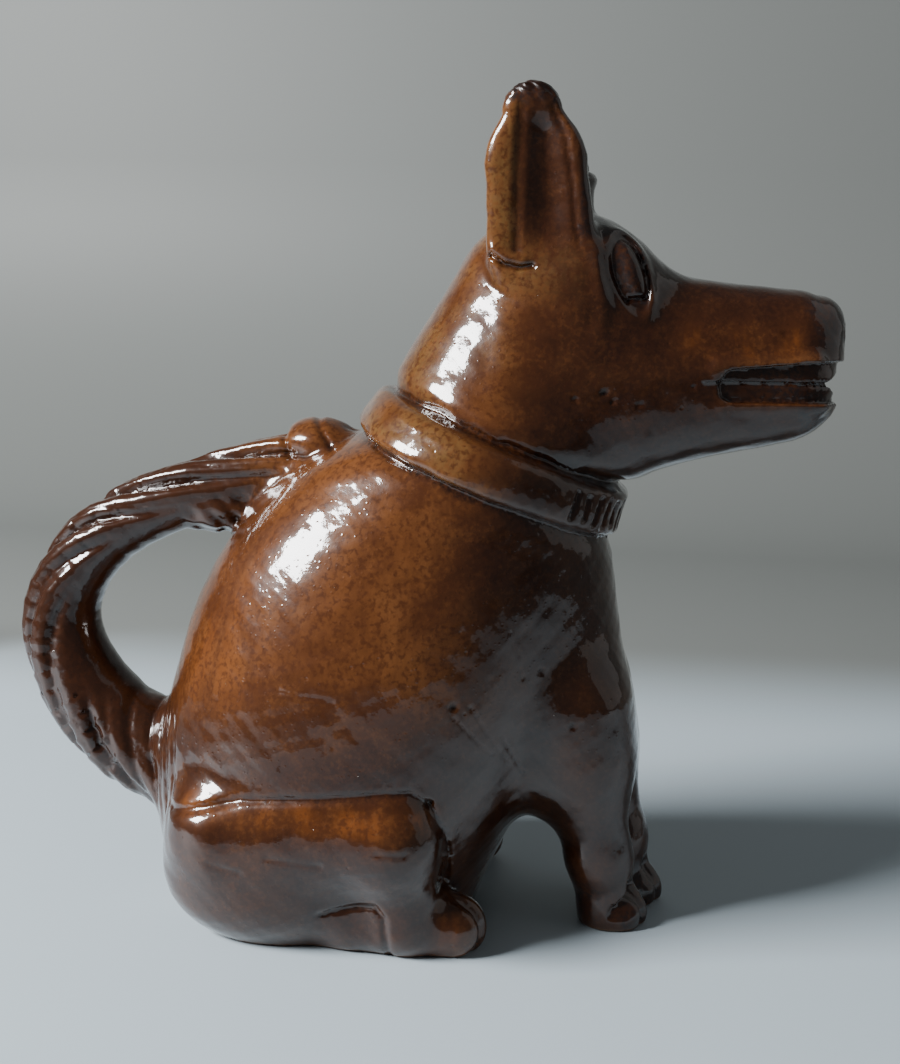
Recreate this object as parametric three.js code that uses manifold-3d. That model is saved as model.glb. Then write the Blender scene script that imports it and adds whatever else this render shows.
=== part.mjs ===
// A glazed earthenware pitcher in the shape of a sitting dog, in millimetres.
// +X points to the nose, +Y to the dog's left and +Z up.
// The origin lies in the middle of the flat underside of the body.
import * as THREE from "three";
import { mergeVertices } from "three/addons/utils/BufferGeometryUtils.js";
import Module from "manifold-3d";

// Driving dimensions.
const figureHeight = 290; // ground to the tips of the ears
const wallThickness = 6; // fired wall of body, neck, head and muzzle
const floorThickness = 8; // clay under the hollow body
const fillingBore = 25; // hole in the crown that the pitcher is filled through
const fillingWall = 4.5; // wall of the short neck round that hole
const fillingNeckRise = 13; // rim of the filling neck above the crown
const fillingRimRoll = 3; // radius of the rolled rim
const pourWidth = 27; // opening between the lips
const pourHeight = 6.4;
const lipPocketDepth = 2; // shallow pocket that the closed lips lie in
const lipGap = 2.2; // slit that runs back between the closed lips
const lipDepth = 4;
const handleThickness = 23.5; // the raised tail where it leaves the shoulder
const lockDepth = 3; // furrows between the long locks of the tail
const lockRise = 0.8; // how far a lock stands out between two furrows
const lockPitch = 33; // distance from furrow to furrow along the tail
const collarWidth = 16.5;
const collarRelief = 2.6;
const collarFurrow = 2.1; // furrow above and below the collar
const earThickness = 10.5;
const earHollow = 5; // depth of the cupped face of an ear
const toeFurrow = 1.8;
const gridStep = 2.4; // pitch of the sampling grid
const outsideFaceCount = 8200; // triangles of the carved outside
const insideFaceCount = 1200;

// The free form is drawn on a sheet 290 units tall and scaled to the figure's height.
const sheetUnitCount = 290;
const unit = figureHeight / sheetUnitCount;
const onSheet = (values) => values.map((value) => value * unit);

// Blending of distance fields. A field is negative inside its form.

function smoothMin(a, b, reach) {
  const overlap = Math.max(reach - Math.abs(a - b), 0);
  return Math.min(a, b) - (overlap * overlap) / (4 * reach);
}

function smoothMax(a, b, reach) {
  return -smoothMin(-a, -b, reach);
}

function mix(a, b, share) {
  return a + (b - a) * share;
}

function clamp01(value) {
  return Math.min(1, Math.max(0, value));
}

function ease(from, to, value) {
  const share = clamp01((value - from) / (to - from));
  return share * share * (3 - 2 * share);
}

function joined(reach, ...fields) {
  return (x, y, z) => {
    let value = Infinity;
    for (const field of fields) value = smoothMin(value, field(x, y, z), reach * unit);
    return value;
  };
}

function mirrored(field) {
  return (x, y, z) => field(x, Math.abs(y), z);
}

// Free forms, all given in units of the sheet.

function ellipsoid(centre, radii, tiltDegrees = 0) {
  const [cx, cy, cz] = onSheet(centre);
  const [rx, ry, rz] = onSheet(radii);
  const cosTilt = Math.cos(THREE.MathUtils.degToRad(tiltDegrees));
  const sinTilt = Math.sin(THREE.MathUtils.degToRad(tiltDegrees));
  return (x, y, z) => {
    const along = (x - cx) * cosTilt - (z - cz) * sinTilt;
    const up = (x - cx) * sinTilt + (z - cz) * cosTilt;
    const [u, v, w] = [along / rx, (y - cy) / ry, up / rz];
    const size = Math.hypot(u, v, w);
    const slope = Math.hypot(u / rx, v / ry, w / rz);
    return slope < 1e-9 ? -Math.min(rx, ry, rz) : (size * (size - 1)) / slope;
  };
}

// A limb that swells from one ball to another. The last value narrows it from side to side.
function limb(start, startRadius, end, endRadius, startNarrow = 1, endNarrow = 1) {
  const [ax, ay, az] = onSheet(start);
  const [bx, by, bz] = onSheet(end);
  const [dx, dy, dz] = [bx - ax, by - ay, bz - az];
  const lengthSquared = dx * dx + dy * dy + dz * dz;
  return (x, y, z) => {
    const share = clamp01(((x - ax) * dx + (y - ay) * dy + (z - az) * dz) / lengthSquared);
    const narrow = mix(startNarrow, endNarrow, share);
    const gap = Math.hypot(
      x - ax - dx * share,
      (y - ay - dy * share) * narrow,
      z - az - dz * share,
    );
    return gap - mix(startRadius, endRadius, share) * unit;
  };
}

// A smooth value through the rows of a table whose first column is the place.
function between(rows, column, place) {
  const last = rows.length - 1;
  let row = 0;
  while (row < last - 1 && place > rows[row + 1][0]) row += 1;
  const slopeAt = (index) => {
    const before = rows[Math.max(index - 1, 0)];
    const after = rows[Math.min(index + 1, last)];
    return (after[column] - before[column]) / (after[0] - before[0]);
  };
  const [low, high] = [rows[row], rows[row + 1]];
  const span = high[0] - low[0];
  const share = clamp01((place - low[0]) / span);
  const rise = share * share * (3 - 2 * share);
  return (
    mix(low[column], high[column], rise) +
    span * share * (1 - share) * (slopeAt(row) * (1 - share) - slopeAt(row + 1) * share)
  );
}

// Distance to an oval with the half axes a and b and a given fullness of its corners.
function oval(u, v, a, b, fullness) {
  const [p, q] = [Math.abs(u) / a, Math.abs(v) / b];
  const size = Math.pow(Math.pow(p, fullness) + Math.pow(q, fullness), 1 / fullness);
  if (size < 0.05) return -Math.min(a, b);
  const slope = Math.hypot(
    Math.pow(p / size, fullness - 1) / a,
    Math.pow(q / size, fullness - 1) / b,
  );
  return (size - 1) / slope;
}

// The thrown pot that makes rump, belly and shoulders: height, rear, front, half width.
const potRows = [
  [-14, -43, 44, 44],
  [0, -53, 49, 47],
  [14, -62, 54, 54],
  [32, -67, 62, 60],
  [58, -67, 72, 63],
  [88, -60, 80, 62],
  [116, -51, 85, 58],
  [140, -37, 87, 52],
  [158, -19, 90, 47],
  [176, 3, 91, 43],
];

const potFullness = 2.15;
const shoulderTop = 174 * unit;

function pot(x, y, z) {
  const height = z / unit;
  const rear = between(potRows, 1, height);
  const front = between(potRows, 2, height);
  const halfWidth = between(potRows, 3, height);
  const middle = ((rear + front) / 2) * unit;
  const halfLength = ((front - rear) / 2) * unit;
  const side = oval(x - middle, y, halfLength, halfWidth * unit, potFullness);
  // The side leans, so its distance is a little less than that across a level cut.
  return smoothMax(0.94 * side, z - shoulderTop, 16 * unit);
}

const chest = limb([65, 0, 138], 27, [80, 0, 62], 26, 0.86, 0.86);
const neckAndSkull = limb([50, 0, 168], 42, [71, 0, 214], 37, 0.97, 1.18);

// The muzzle, a loaf along X: place, top, underside, half width.
const muzzleRows = [
  [66, 222, 168, 28],
  [84, 234, 160, 31],
  [98, 234, 159, 31],
  [112, 229.5, 164, 28.5],
  [126, 227.5, 168, 26],
  [142, 226, 171.5, 23.5],
  [156, 225, 175, 22],
  [172, 222, 181, 21],
];

const muzzleFullness = 2.7;
const noseEnd = 169 * unit;
const backEnd = 62 * unit;

function muzzle(x, y, z) {
  const place = x / unit;
  const top = between(muzzleRows, 1, place);
  const under = between(muzzleRows, 2, place);
  const halfWidth = between(muzzleRows, 3, place);
  const middle = ((top + under) / 2) * unit;
  const taper = 1 - 0.16 * clamp01((z - middle) / (26 * unit));
  const halfHeight = ((top - under) / 2) * unit;
  const loaf = oval(y, z - middle, halfWidth * taper * unit, halfHeight, muzzleFullness);
  return smoothMax(smoothMax(loaf, x - noseEnd, 17 * unit), backEnd - x, 4 * unit);
}

const brow = mirrored(ellipsoid([84, 15, 230], [15, 13, 12.5], 24));

// The hollow form: everything that the wall runs round.
const vessel = joined(13, pot, chest, neckAndSkull, muzzle, brow);

// The collar's plane slopes down to the front. Height above that plane:
const collarCentre = { x: 52 * unit, z: 165 * unit };
const collarSlope = THREE.MathUtils.degToRad(21.6);

function aboveCollar(x, z) {
  const forward = (x - collarCentre.x) * Math.sin(collarSlope);
  return forward + (z - collarCentre.z) * Math.cos(collarSlope);
}

function collarBand(x, z, skin) {
  const edge = Math.abs(aboveCollar(x, z)) - collarWidth / 2;
  const crown = collarRelief * (1 - 0.35 * Math.pow(clamp01(1 + edge / (collarWidth / 2)), 3));
  return smoothMax(skin - crown, edge, 3.5);
}

// Depth of the furrows that part the collar from the neck above and the body below.
function collarFurrows(x, z) {
  const height = aboveCollar(x, z);
  const halfFurrow = 3.1;
  const bell = (distance) => Math.exp(-((distance / halfFurrow) ** 2));
  const upper = bell(height - collarWidth / 2 - halfFurrow * 0.7);
  const lower = bell(height + collarWidth / 2 + halfFurrow * 0.7);
  return collarFurrow * (upper + 0.5 * lower);
}

// Haunches, feet and legs.
const thigh = limb([-32, 42, 38], 22.5, [23, 49, 42.5], 18.5);
const shank = limb([24, 49, 38], 16, [29, 46, 14], 12);
const haunch = mirrored(joined(8, thigh, shank));
const seat = mirrored(ellipsoid([-20, 38, 22], [36, 24, 25]));
const hock = mirrored(limb([12, 45, 9], 10, [30, 44, 10], 11.5));
const hindFoot = mirrored(limb([30, 43.5, 10], 12.5, [45.5, 43, 8.5], 11.5));

function foreleg(side) {
  const lead = side > 0 ? 4.5 : -1.5; // the left leg stands a little further forward
  const middle = side * 11.5;
  const upper = limb([83, side * 14, 80], 18, [95.5 + lead, middle, 24], 11);
  const ankle = limb([95.5 + lead, middle, 24], 11, [99 + lead, middle, 5], 9.5);
  const paw = ellipsoid([102 + lead, middle, 4], [12, 10.5, 10]);
  return joined(6, upper, ankle, paw);
}

const forelegs = joined(3, foreleg(-1), foreleg(1));

// Depth of the furrows between the toes, which run over the tip of each paw.
function toeFurrows(x, y, z) {
  const halfFurrow = 1.9;
  const bell = (distance) => Math.exp(-((distance / halfFurrow) ** 2));
  const hindToes = bell(Math.abs(Math.abs(y) - 42.5 * unit) - 4.4 * unit);
  const foreToes = bell(Math.abs(Math.abs(y) - 11.5 * unit) - 3.8 * unit);
  const onHind = ease(43 * unit, 50 * unit, x) * ease(70 * unit, 66 * unit, x);
  const onFore = ease(98 * unit, 104 * unit, x) * ease(20 * unit, 14 * unit, z);
  return toeFurrow * (hindToes * onHind * ease(28 * unit, 22 * unit, z) + foreToes * onFore);
}

// The tail stands up behind the body and bends over to the shoulder as the handle.
// Each row is a place along X, a height and a share of the handle's thickness.
const tailRows = [
  [-12, 163, 0.94],
  [-38, 154, 0.96],
  [-62, 146, 1],
  [-87, 133, 1.02],
  [-102, 115, 1.1],
  [-106, 98, 1.18],
  [-102, 82, 1.3],
  [-92, 67, 1.4],
  [-78, 55, 1.5],
  [-60, 47, 1.5],
];

function curvePoint(rows, place) {
  const span = Math.min(Math.floor(place), rows.length - 2);
  const share = place - span;
  const row = (index) => rows[Math.min(Math.max(index, 0), rows.length - 1)];
  return [0, 1, 2].map((column) => {
    const [a, b, c, d] = [-1, 0, 1, 2].map((step) => row(span + step)[column]);
    const bend = (2 * a - 5 * b + 4 * c - d) * share * share;
    const twist = (3 * b - a - 3 * c + d) * share * share * share;
    return 0.5 * (2 * b + (c - a) * share + bend + twist);
  });
}

function tailPoints() {
  const stepsPerRow = 3;
  const points = [];
  let run = 0;
  for (let step = 0; step <= (tailRows.length - 1) * stepsPerRow; step += 1) {
    const [x, z, share] = curvePoint(tailRows, step / stepsPerRow);
    const point = { x: x * unit, z: z * unit, radius: (share * handleThickness) / 2 };
    const before = points[points.length - 1];
    if (before) run += Math.hypot(point.x - before.x, point.z - before.z);
    points.push({ ...point, run });
  }
  return points;
}

const tailPath = tailPoints();

function tail(x, y, z) {
  let best = { gap: Infinity };
  for (let index = 1; index < tailPath.length; index += 1) {
    const [from, to] = [tailPath[index - 1], tailPath[index]];
    const [dx, dz] = [to.x - from.x, to.z - from.z];
    const length = Math.hypot(dx, dz);
    const share = clamp01(((x - from.x) * dx + (z - from.z) * dz) / (length * length));
    const outward = ((x - from.x) * dz - (z - from.z) * dx) / length;
    const inPlane = Math.hypot(x - from.x - dx * share, z - from.z - dz * share);
    const radius = mix(from.radius, to.radius, share);
    const gap = Math.hypot(inPlane, y) - radius;
    if (gap < best.gap) best = { gap, outward, radius, run: mix(from.run, to.run, share) };
  }
  return best.gap + (best.gap < 8 * unit ? lockRelief(y, best) : 0);
}

// The locks sweep outwards on both sides of the tail. Its inner side is smooth.
function lockRelief(y, { outward, radius, run }) {
  const angle = Math.abs(Math.atan2(y, outward));
  const along = (2 * Math.PI * run) / lockPitch;
  const wave = Math.cos(6.5 * angle + along + 0.8 * Math.sin(run / (13 * unit)));
  const furrow = Math.pow(0.5 - 0.5 * wave, 2);
  const leaf = 0.7 + 0.3 * Math.cos(0.9 * along + 2.5 * angle + 1);
  const outerSide = ease(-0.45, 0.3, outward / radius);
  return outerSide * (lockDepth * leaf * furrow - lockRise * (0.5 + 0.5 * wave));
}

const tailTip = ellipsoid([-9, 0, 167], [14, 13, 9.5], 12);

// Ears: upright leaves on the sides of the head, cupped towards the outside.
const earPlace = 24.5;
const earBlade = limb([66.3, 0, 238], 18.2, [63.8, 0, 265], 16.2);
const earTip = limb([63.8, 0, 265], 16.2, [62.2, 0, 279.6], 10.4);
const earOutline = joined(2, earBlade, earTip);

function earLeaf(x, y, z) {
  const leaf = earOutline(x, 0, z);
  const lean = (z - 238 * unit) * 0.05;
  const across = Math.abs(y - earPlace * unit - lean) - earThickness / 2;
  return smoothMax(leaf, across, 6 * unit);
}

const earCup = limb([69.5, 0, 237], 9.5, [66.5, 0, 273], 8);
const earCrease = limb([58.4, 0, 238], 2, [58.4, 0, 279], 2);

// How far the outer face of an ear is sunk: a broad cup in front and a crease behind it.
function earSink(x, z) {
  const cupSink = 0.85 * earHollow * ease(3.5 * unit, -9 * unit, earCup(x, 0, z));
  const creaseSink = 0.3 * earHollow * ease(2.5 * unit, -2 * unit, earCrease(x, 0, z));
  return cupSink + creaseSink;
}

const ears = mirrored((x, y, z) => {
  const outerFace = (earPlace + 0.05 * (z / unit - 238)) * unit + earThickness / 2;
  return smoothMax(earLeaf(x, y, z), y - outerFace + earSink(x, z), 3);
});

// The filling neck between the ears.
const fillingPlace = 66 * unit;
const crownHeight = 250 * unit;
const fillingRim = crownHeight + fillingNeckRise;

function fillingNeck(x, y, z) {
  const fromAxis = Math.hypot(x - fillingPlace, y);
  const outer = fillingBore / 2 + fillingWall;
  const tube = Math.max(fromAxis - outer, z - fillingRim + fillingRimRoll, 236 * unit - z);
  const roll = Math.hypot(fromAxis - outer + fillingRimRoll * 0.8, z - fillingRim + fillingRimRoll);
  return smoothMin(tube, roll - fillingRimRoll, 1.5);
}

// The mouth: a shallow pocket with a rounded rear end, and a slit between the lips in it.
const mouthHeight = 194.6 * unit;
const mouthCorner = 121 * unit;
const pocketHeight = 193.5 * unit;
const pocketEnd = 131.5 * unit;
const pocketRadius = 5.4 * unit;

function mouthPocket(x, z, skin) {
  const rise = 1.5 * unit * clamp01((x - pocketEnd) / (30 * unit));
  const behind = Math.max(pocketEnd - x, 0);
  const fromMiddle = Math.max(Math.abs(z - pocketHeight - rise) - rise, 0);
  const pocket = 0.9 * (Math.hypot(behind, fromMiddle) - pocketRadius);
  return smoothMax(pocket, -(skin + lipPocketDepth), 0.8 * unit);
}

function mouthSlit(x, z, skin) {
  const openness = ease(mouthCorner - 3 * unit, mouthCorner + 14 * unit, x);
  const share = clamp01(1 + skin / lipDepth);
  const halfGap = lipGap * mix(0.5, 1.2, share * share) * openness;
  const depth = lipDepth * openness;
  return Math.max(Math.abs(z - mouthHeight) - halfGap, -(skin + depth), mouthCorner - x);
}

const lowerLip = mirrored(limb([128, 21.5, 187.5], 2.6, [160, 17.5, 188.5], 3));
const upperLip = mirrored(limb([126, 24, 200], 2, [158, 20.5, 201.5], 2.6));
const noseLeather = ellipsoid([162.5, 0, 213.5], [6.5, 13, 9.5], -6);
const nostrils = mirrored(ellipsoid([168.5, 6.5, 211], [2.6, 3, 2.6]));

// Eyes: tall almonds that lean back, each in a shallow socket.
const socket = mirrored(ellipsoid([96, 31, 229.5], [8.5, 5.5, 14], -20));
const eyeball = mirrored(ellipsoid([95.8, 21.4, 229.2], [4.7, 5.6, 11.2], -20));

function outerForm(x, y, z) {
  const shell = vessel(x, y, z);
  let form = smoothMax(shell, -socket(x, y, z), 3 * unit);
  form = smoothMin(form, eyeball(x, y, z), 1.2 * unit);
  form = smoothMin(form, noseLeather(x, y, z), 3 * unit);
  form = smoothMax(form, -nostrils(x, y, z), 1.5 * unit);
  form = smoothMin(form, lowerLip(x, y, z), 3 * unit);
  form = smoothMin(form, upperLip(x, y, z), 4 * unit);
  form = smoothMax(form, -mouthPocket(x, z, shell), 0.8 * unit);
  form = Math.max(form, -mouthSlit(x, z, shell));
  form = smoothMin(form, seat(x, y, z), 10 * unit);
  form = smoothMin(form, haunch(x, y, z), 6 * unit);
  form = smoothMin(form, hock(x, y, z), 3 * unit);
  form = smoothMin(form, hindFoot(x, y, z), 3 * unit);
  form = smoothMin(form, forelegs(x, y, z), 12 * unit);
  form += toeFurrows(x, y, z);
  form = smoothMin(form, ears(x, y, z), 4 * unit);
  form = smoothMin(form, fillingNeck(x, y, z), 3 * unit);
  const nearCollar = ease(6, 1, Math.abs(form - shell));
  form += collarFurrows(x, z) * nearCollar;
  form = smoothMin(form, collarBand(x, z, shell), 1);
  form = smoothMin(form, tail(x, y, z), 9 * unit);
  return smoothMin(form, tailTip(x, y, z), 3 * unit);
}

// The space inside the wall.
function inside(x, y, z) {
  return smoothMax(vessel(x, y, z) + wallThickness, floorThickness - z, 6 * unit);
}

const footDepth = 6 * unit; // clay below the ground, cut away at the end

function standingForm(x, y, z) {
  return Math.max(outerForm(x, y, z), -footDepth - z);
}

// Blocks of the grid that lie far from the skin are filled with one value.
const blockCellCount = 4;

// The skin of a field: each grid cube is cut into six tetrahedra round its long diagonal.
function skinOf(field, low, high, step) {
  const counts = low.map((value, axis) => Math.ceil((high[axis] - value) / step) + 1);
  const [nx, ny, nz] = counts;
  const values = new Float64Array(nx * ny * nz);
  const index = (i, j, k) => (k * ny + j) * nx + i;
  const place = (i, axis) => low[axis] + i * step;
  const fillBlock = (start) => {
    const middle = start.map((i, axis) => place(i + (blockCellCount - 1) / 2, axis));
    const middleValue = field(...middle);
    const isFar = Math.abs(middleValue) > 1.25 * blockCellCount * step;
    const end = start.map((i, axis) => Math.min(i + blockCellCount, counts[axis]));
    for (let k = start[2]; k < end[2]; k += 1) {
      for (let j = start[1]; j < end[1]; j += 1) {
        for (let i = start[0]; i < end[0]; i += 1) {
          const value = isFar ? middleValue : field(place(i, 0), place(j, 1), place(k, 2));
          values[index(i, j, k)] = Math.abs(value) < 1e-4 * step ? 1e-4 * step : value;
        }
      }
    }
  };
  for (let k = 0; k < nz; k += blockCellCount) {
    for (let j = 0; j < ny; j += blockCellCount) {
      for (let i = 0; i < nx; i += blockCellCount) fillBlock([i, j, k]);
    }
  }
  const points = [];
  const triangles = [];
  const known = new Map();
  const pointBetween = (a, b) => {
    const [first, second] = a < b ? [a, b] : [b, a];
    const key = first * nx * ny * nz + second;
    if (known.has(key)) return known.get(key);
    const crossing = values[first] / (values[first] - values[second]);
    const share = Math.min(0.9, Math.max(0.1, crossing));
    const spot = [first, second].map((at) => [
      place(at % nx, 0),
      place(Math.floor(at / nx) % ny, 1),
      place(Math.floor(at / (nx * ny)), 2),
    ]);
    points.push(...spot[0].map((value, axis) => mix(value, spot[1][axis], share)));
    known.set(key, points.length / 3 - 1);
    return points.length / 3 - 1;
  };
  const orders = [
    [0, 1, 2],
    [1, 2, 0],
    [2, 0, 1],
    [0, 2, 1],
    [2, 1, 0],
    [1, 0, 2],
  ];
  const addTetrahedron = (corners, turned) => {
    const inside = corners.filter((corner) => values[corner] < 0);
    const outside = corners.filter((corner) => values[corner] >= 0);
    if (!inside.length || !outside.length) return;
    // The order of the corners tells which way round a triangle faces outwards.
    const order = [...inside, ...outside].map((corner) => corners.indexOf(corner));
    let swaps = turned ? 1 : 0;
    for (let a = 0; a < 4; a += 1) {
      for (let b = a + 1; b < 4; b += 1) if (order[a] > order[b]) swaps += 1;
    }
    const add = (a, b, c) => triangles.push(...(swaps % 2 ? [a, c, b] : [a, b, c]));
    if (inside.length === 1) {
      add(...outside.map((corner) => pointBetween(inside[0], corner)));
    } else if (inside.length === 3) {
      add(...inside.map((corner) => pointBetween(corner, outside[0])));
    } else {
      const [a, b] = inside;
      const [c, d] = outside;
      const ring = [pointBetween(a, c), pointBetween(a, d), pointBetween(b, d), pointBetween(b, c)];
      add(ring[0], ring[1], ring[2]);
      add(ring[0], ring[2], ring[3]);
    }
  };
  for (let k = 0; k < nz - 1; k += 1) {
    for (let j = 0; j < ny - 1; j += 1) {
      for (let i = 0; i < nx - 1; i += 1) {
        const sign = values[index(i, j, k)] < 0;
        let mixed = false;
        for (let corner = 1; corner < 8 && !mixed; corner += 1) {
          const value = values[index(i + (corner & 1), j + ((corner >> 1) & 1), k + (corner >> 2))];
          mixed = value < 0 !== sign;
        }
        if (!mixed) continue;
        orders.forEach((order, which) => {
          const spot = [i, j, k];
          const corners = [index(...spot)];
          order.forEach((axis) => {
            spot[axis] += 1;
            corners.push(index(...spot));
          });
          addTetrahedron(corners, which >= 3);
        });
      }
    }
  }
  return { points: Float64Array.from(points), triangles };
}

// A queue that gives back its cheapest entry first.
class CostQueue {
  constructor() {
    this.entries = [];
  }

  push(entry) {
    const { entries } = this;
    let at = entries.push(entry) - 1;
    while (at > 0) {
      const parent = (at - 1) >> 1;
      if (entries[parent].cost <= entries[at].cost) break;
      [entries[parent], entries[at]] = [entries[at], entries[parent]];
      at = parent;
    }
  }

  pop() {
    const { entries } = this;
    const cheapest = entries[0];
    const last = entries.pop();
    if (!entries.length) return cheapest;
    entries[0] = last;
    let at = 0;
    for (;;) {
      const left = 2 * at + 1;
      let least = at;
      for (const child of [left, left + 1]) {
        if (child < entries.length && entries[child].cost < entries[least].cost) least = child;
      }
      if (least === at) return cheapest;
      [entries[least], entries[at]] = [entries[at], entries[least]];
      at = least;
    }
  }
}

function cross(a, b) {
  return [a[1] * b[2] - a[2] * b[1], a[2] * b[0] - a[0] * b[2], a[0] * b[1] - a[1] * b[0]];
}

function dot(a, b) {
  return a[0] * b[0] + a[1] * b[1] + a[2] * b[2];
}

function minus(a, b) {
  return [a[0] - b[0], a[1] - b[1], a[2] - b[2]];
}

// Shortens a closed skin's edges one by one, the least noticeable first, and keeps it closed.
function simplified(skin, wanted) {
  const count = skin.points.length / 3;
  const spots = Array.from({ length: count }, (_, i) => [...skin.points.slice(3 * i, 3 * i + 3)]);
  const faces = [];
  for (let i = 0; i < skin.triangles.length; i += 3) faces.push(skin.triangles.slice(i, i + 3));
  const around = spots.map(() => new Set());
  const quadrics = spots.map(() => new Float64Array(10));
  const stamps = new Int32Array(count);
  faces.forEach((face, name) => {
    const [a, b, c] = face.map((corner) => spots[corner]);
    const normal = cross(minus(b, a), minus(c, a));
    const size = Math.hypot(...normal);
    face.forEach((corner) => around[corner].add(name));
    if (size < 1e-12) return;
    const [nx, ny, nz] = normal.map((value) => value / size);
    const offset = -dot([nx, ny, nz], a);
    const plane = [nx, ny, nz, offset];
    let slot = 0;
    for (let row = 0; row < 4; row += 1) {
      for (let column = row; column < 4; column += 1) {
        const value = size * plane[row] * plane[column];
        face.forEach((corner) => {
          quadrics[corner][slot] += value;
        });
        slot += 1;
      }
    }
  });

  const errorAt = (q, [x, y, z]) =>
    q[0] * x * x + 2 * q[1] * x * y + 2 * q[2] * x * z + 2 * q[3] * x +
    q[4] * y * y + 2 * q[5] * y * z + 2 * q[6] * y +
    q[7] * z * z + 2 * q[8] * z + q[9];

  const bestSpot = (q, a, b) => {
    const rows = [
      [q[0], q[1], q[2]],
      [q[1], q[4], q[5]],
      [q[2], q[5], q[7]],
    ];
    const right = [-q[3], -q[6], -q[8]];
    const volume = dot(rows[0], cross(rows[1], rows[2]));
    const scale = q[0] + q[4] + q[7];
    const middle = a.map((value, axis) => (value + b[axis]) / 2);
    if (Math.abs(volume) > 1e-4 * scale ** 3) {
      const solved = [0, 1, 2].map((axis) => {
        const columns = [0, 1, 2].map((column) => rows.map((row) => row[column]));
        columns[axis] = right;
        return dot(columns[0], cross(columns[1], columns[2])) / volume;
      });
      const reach = Math.hypot(...minus(a, b));
      if (Math.hypot(...minus(solved, middle)) < 1.5 * reach) return solved;
    }
    const choices = [middle, a, b];
    return choices.reduce((best, spot) => (errorAt(q, spot) < errorAt(q, best) ? spot : best));
  };

  const queue = new CostQueue();
  const neighbours = (vertex) => {
    const found = new Set();
    around[vertex].forEach((name) => faces[name].forEach((corner) => found.add(corner)));
    found.delete(vertex);
    return found;
  };
  const offer = (a, b) => {
    const q = quadrics[a].map((value, slot) => value + quadrics[b][slot]);
    const spot = bestSpot(q, spots[a], spots[b]);
    const gap = minus(spots[a], spots[b]);
    const cost = errorAt(q, spot) + 1e-3 * dot(gap, gap);
    queue.push({ cost, a, b, spot, q, stamp: stamps[a] + stamps[b] });
  };
  // A face beside the edge may not turn over or shrink to a needle.
  const keepsShape = (vertex, other, spot) => {
    for (const name of around[vertex]) {
      if (faces[name].includes(other)) continue;
      const before = faces[name].map((corner) => spots[corner]);
      const after = faces[name].map((corner) => (corner === vertex ? spot : spots[corner]));
      const oldNormal = cross(minus(before[1], before[0]), minus(before[2], before[0]));
      const newNormal = cross(minus(after[1], after[0]), minus(after[2], after[0]));
      const sides = after.map((corner, i) => Math.hypot(...minus(corner, after[(i + 1) % 3])));
      const longest = Math.max(...sides);
      const oldSize = Math.hypot(...oldNormal);
      const newSize = Math.hypot(...newNormal);
      if (newSize < 0.05 * longest * longest && newSize < oldSize) return false;
      const sizes = oldSize * newSize;
      if (sizes > 1e-12 && dot(oldNormal, newNormal) < 0.25 * sizes) return false;
    }
    return true;
  };
  faces.forEach(([a, b, c]) => {
    if (a < b) offer(a, b);
    if (b < c) offer(b, c);
    if (c < a) offer(c, a);
  });
  let left = faces.length;
  while (left > wanted && queue.entries.length) {
    const { a, b, spot, q, stamp } = queue.pop();
    if (stamps[a] < 0 || stamps[b] < 0 || stamp !== stamps[a] + stamps[b]) continue;
    const nearB = neighbours(b);
    const shared = [...neighbours(a)].filter((vertex) => nearB.has(vertex));
    if (!nearB.has(a) || shared.length !== 2) continue;
    if (!keepsShape(a, b, spot) || !keepsShape(b, a, spot)) continue;
    for (const name of [...around[b]]) {
      if (faces[name].includes(a)) {
        faces[name].forEach((corner) => around[corner].delete(name));
        faces[name] = null;
        left -= 1;
      } else {
        faces[name] = faces[name].map((corner) => (corner === b ? a : corner));
        around[a].add(name);
      }
    }
    spots[a] = spot;
    quadrics[a] = q;
    stamps[a] += 1;
    stamps[b] = -1e9;
    around[b].clear();
    neighbours(a).forEach((vertex) => offer(a, vertex));
  }
  return { spots, faces: faces.filter(Boolean) };
}

// Moves a spot down the slope of a field until it lies on the form's surface.
function settled(field, spot, step) {
  const probe = 0.05;
  let place = spot;
  for (let turn = 0; turn < 3; turn += 1) {
    const value = field(...place);
    const slope = [0, 1, 2].map((axis) => {
      const beside = [...place];
      beside[axis] += probe;
      return (field(...beside) - value) / probe;
    });
    const steepness = dot(slope, slope);
    if (steepness < 0.05) return spot;
    place = place.map((coordinate, axis) => coordinate - (value * slope[axis]) / steepness);
  }
  return Math.hypot(...minus(place, spot)) < 0.5 * step ? place : spot;
}

function solidFrom(geometry) {
  geometry.deleteAttribute("normal");
  geometry.deleteAttribute("uv");
  const merged = mergeVertices(geometry, 1e-4);
  const vertProperties = new Float32Array(merged.attributes.position.array);
  const triVerts = new Uint32Array(merged.index.array);
  return new wasm.Manifold(new wasm.Mesh({ numProp: 3, vertProperties, triVerts }));
}

function geometryFrom(spots, faces) {
  const geometry = new THREE.BufferGeometry();
  geometry.setAttribute("position", new THREE.Float32BufferAttribute(spots.flat(), 3));
  geometry.setIndex(faces.flat());
  return geometry;
}

// A closed skin of a field, brought down to a number of faces and laid on its surface again.
function freeForm(field, low, high, step, faceLimit) {
  const { spots, faces } = simplified(skinOf(field, low, high, step), faceLimit);
  const numbers = new Map();
  const kept = [];
  const numberOf = (corner) => {
    if (!numbers.has(corner)) {
      numbers.set(corner, kept.length);
      kept.push(settled(field, spots[corner], step));
    }
    return numbers.get(corner);
  };
  const renumbered = faces.map((face) => face.map(numberOf));
  return solidFrom(geometryFrom(kept, renumbered));
}

function carvedForm() {
  const low = onSheet([-130, -78, -10]);
  const high = onSheet([182, 78, 302]);
  return freeForm(standingForm, low, high, gridStep, outsideFaceCount);
}

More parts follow.
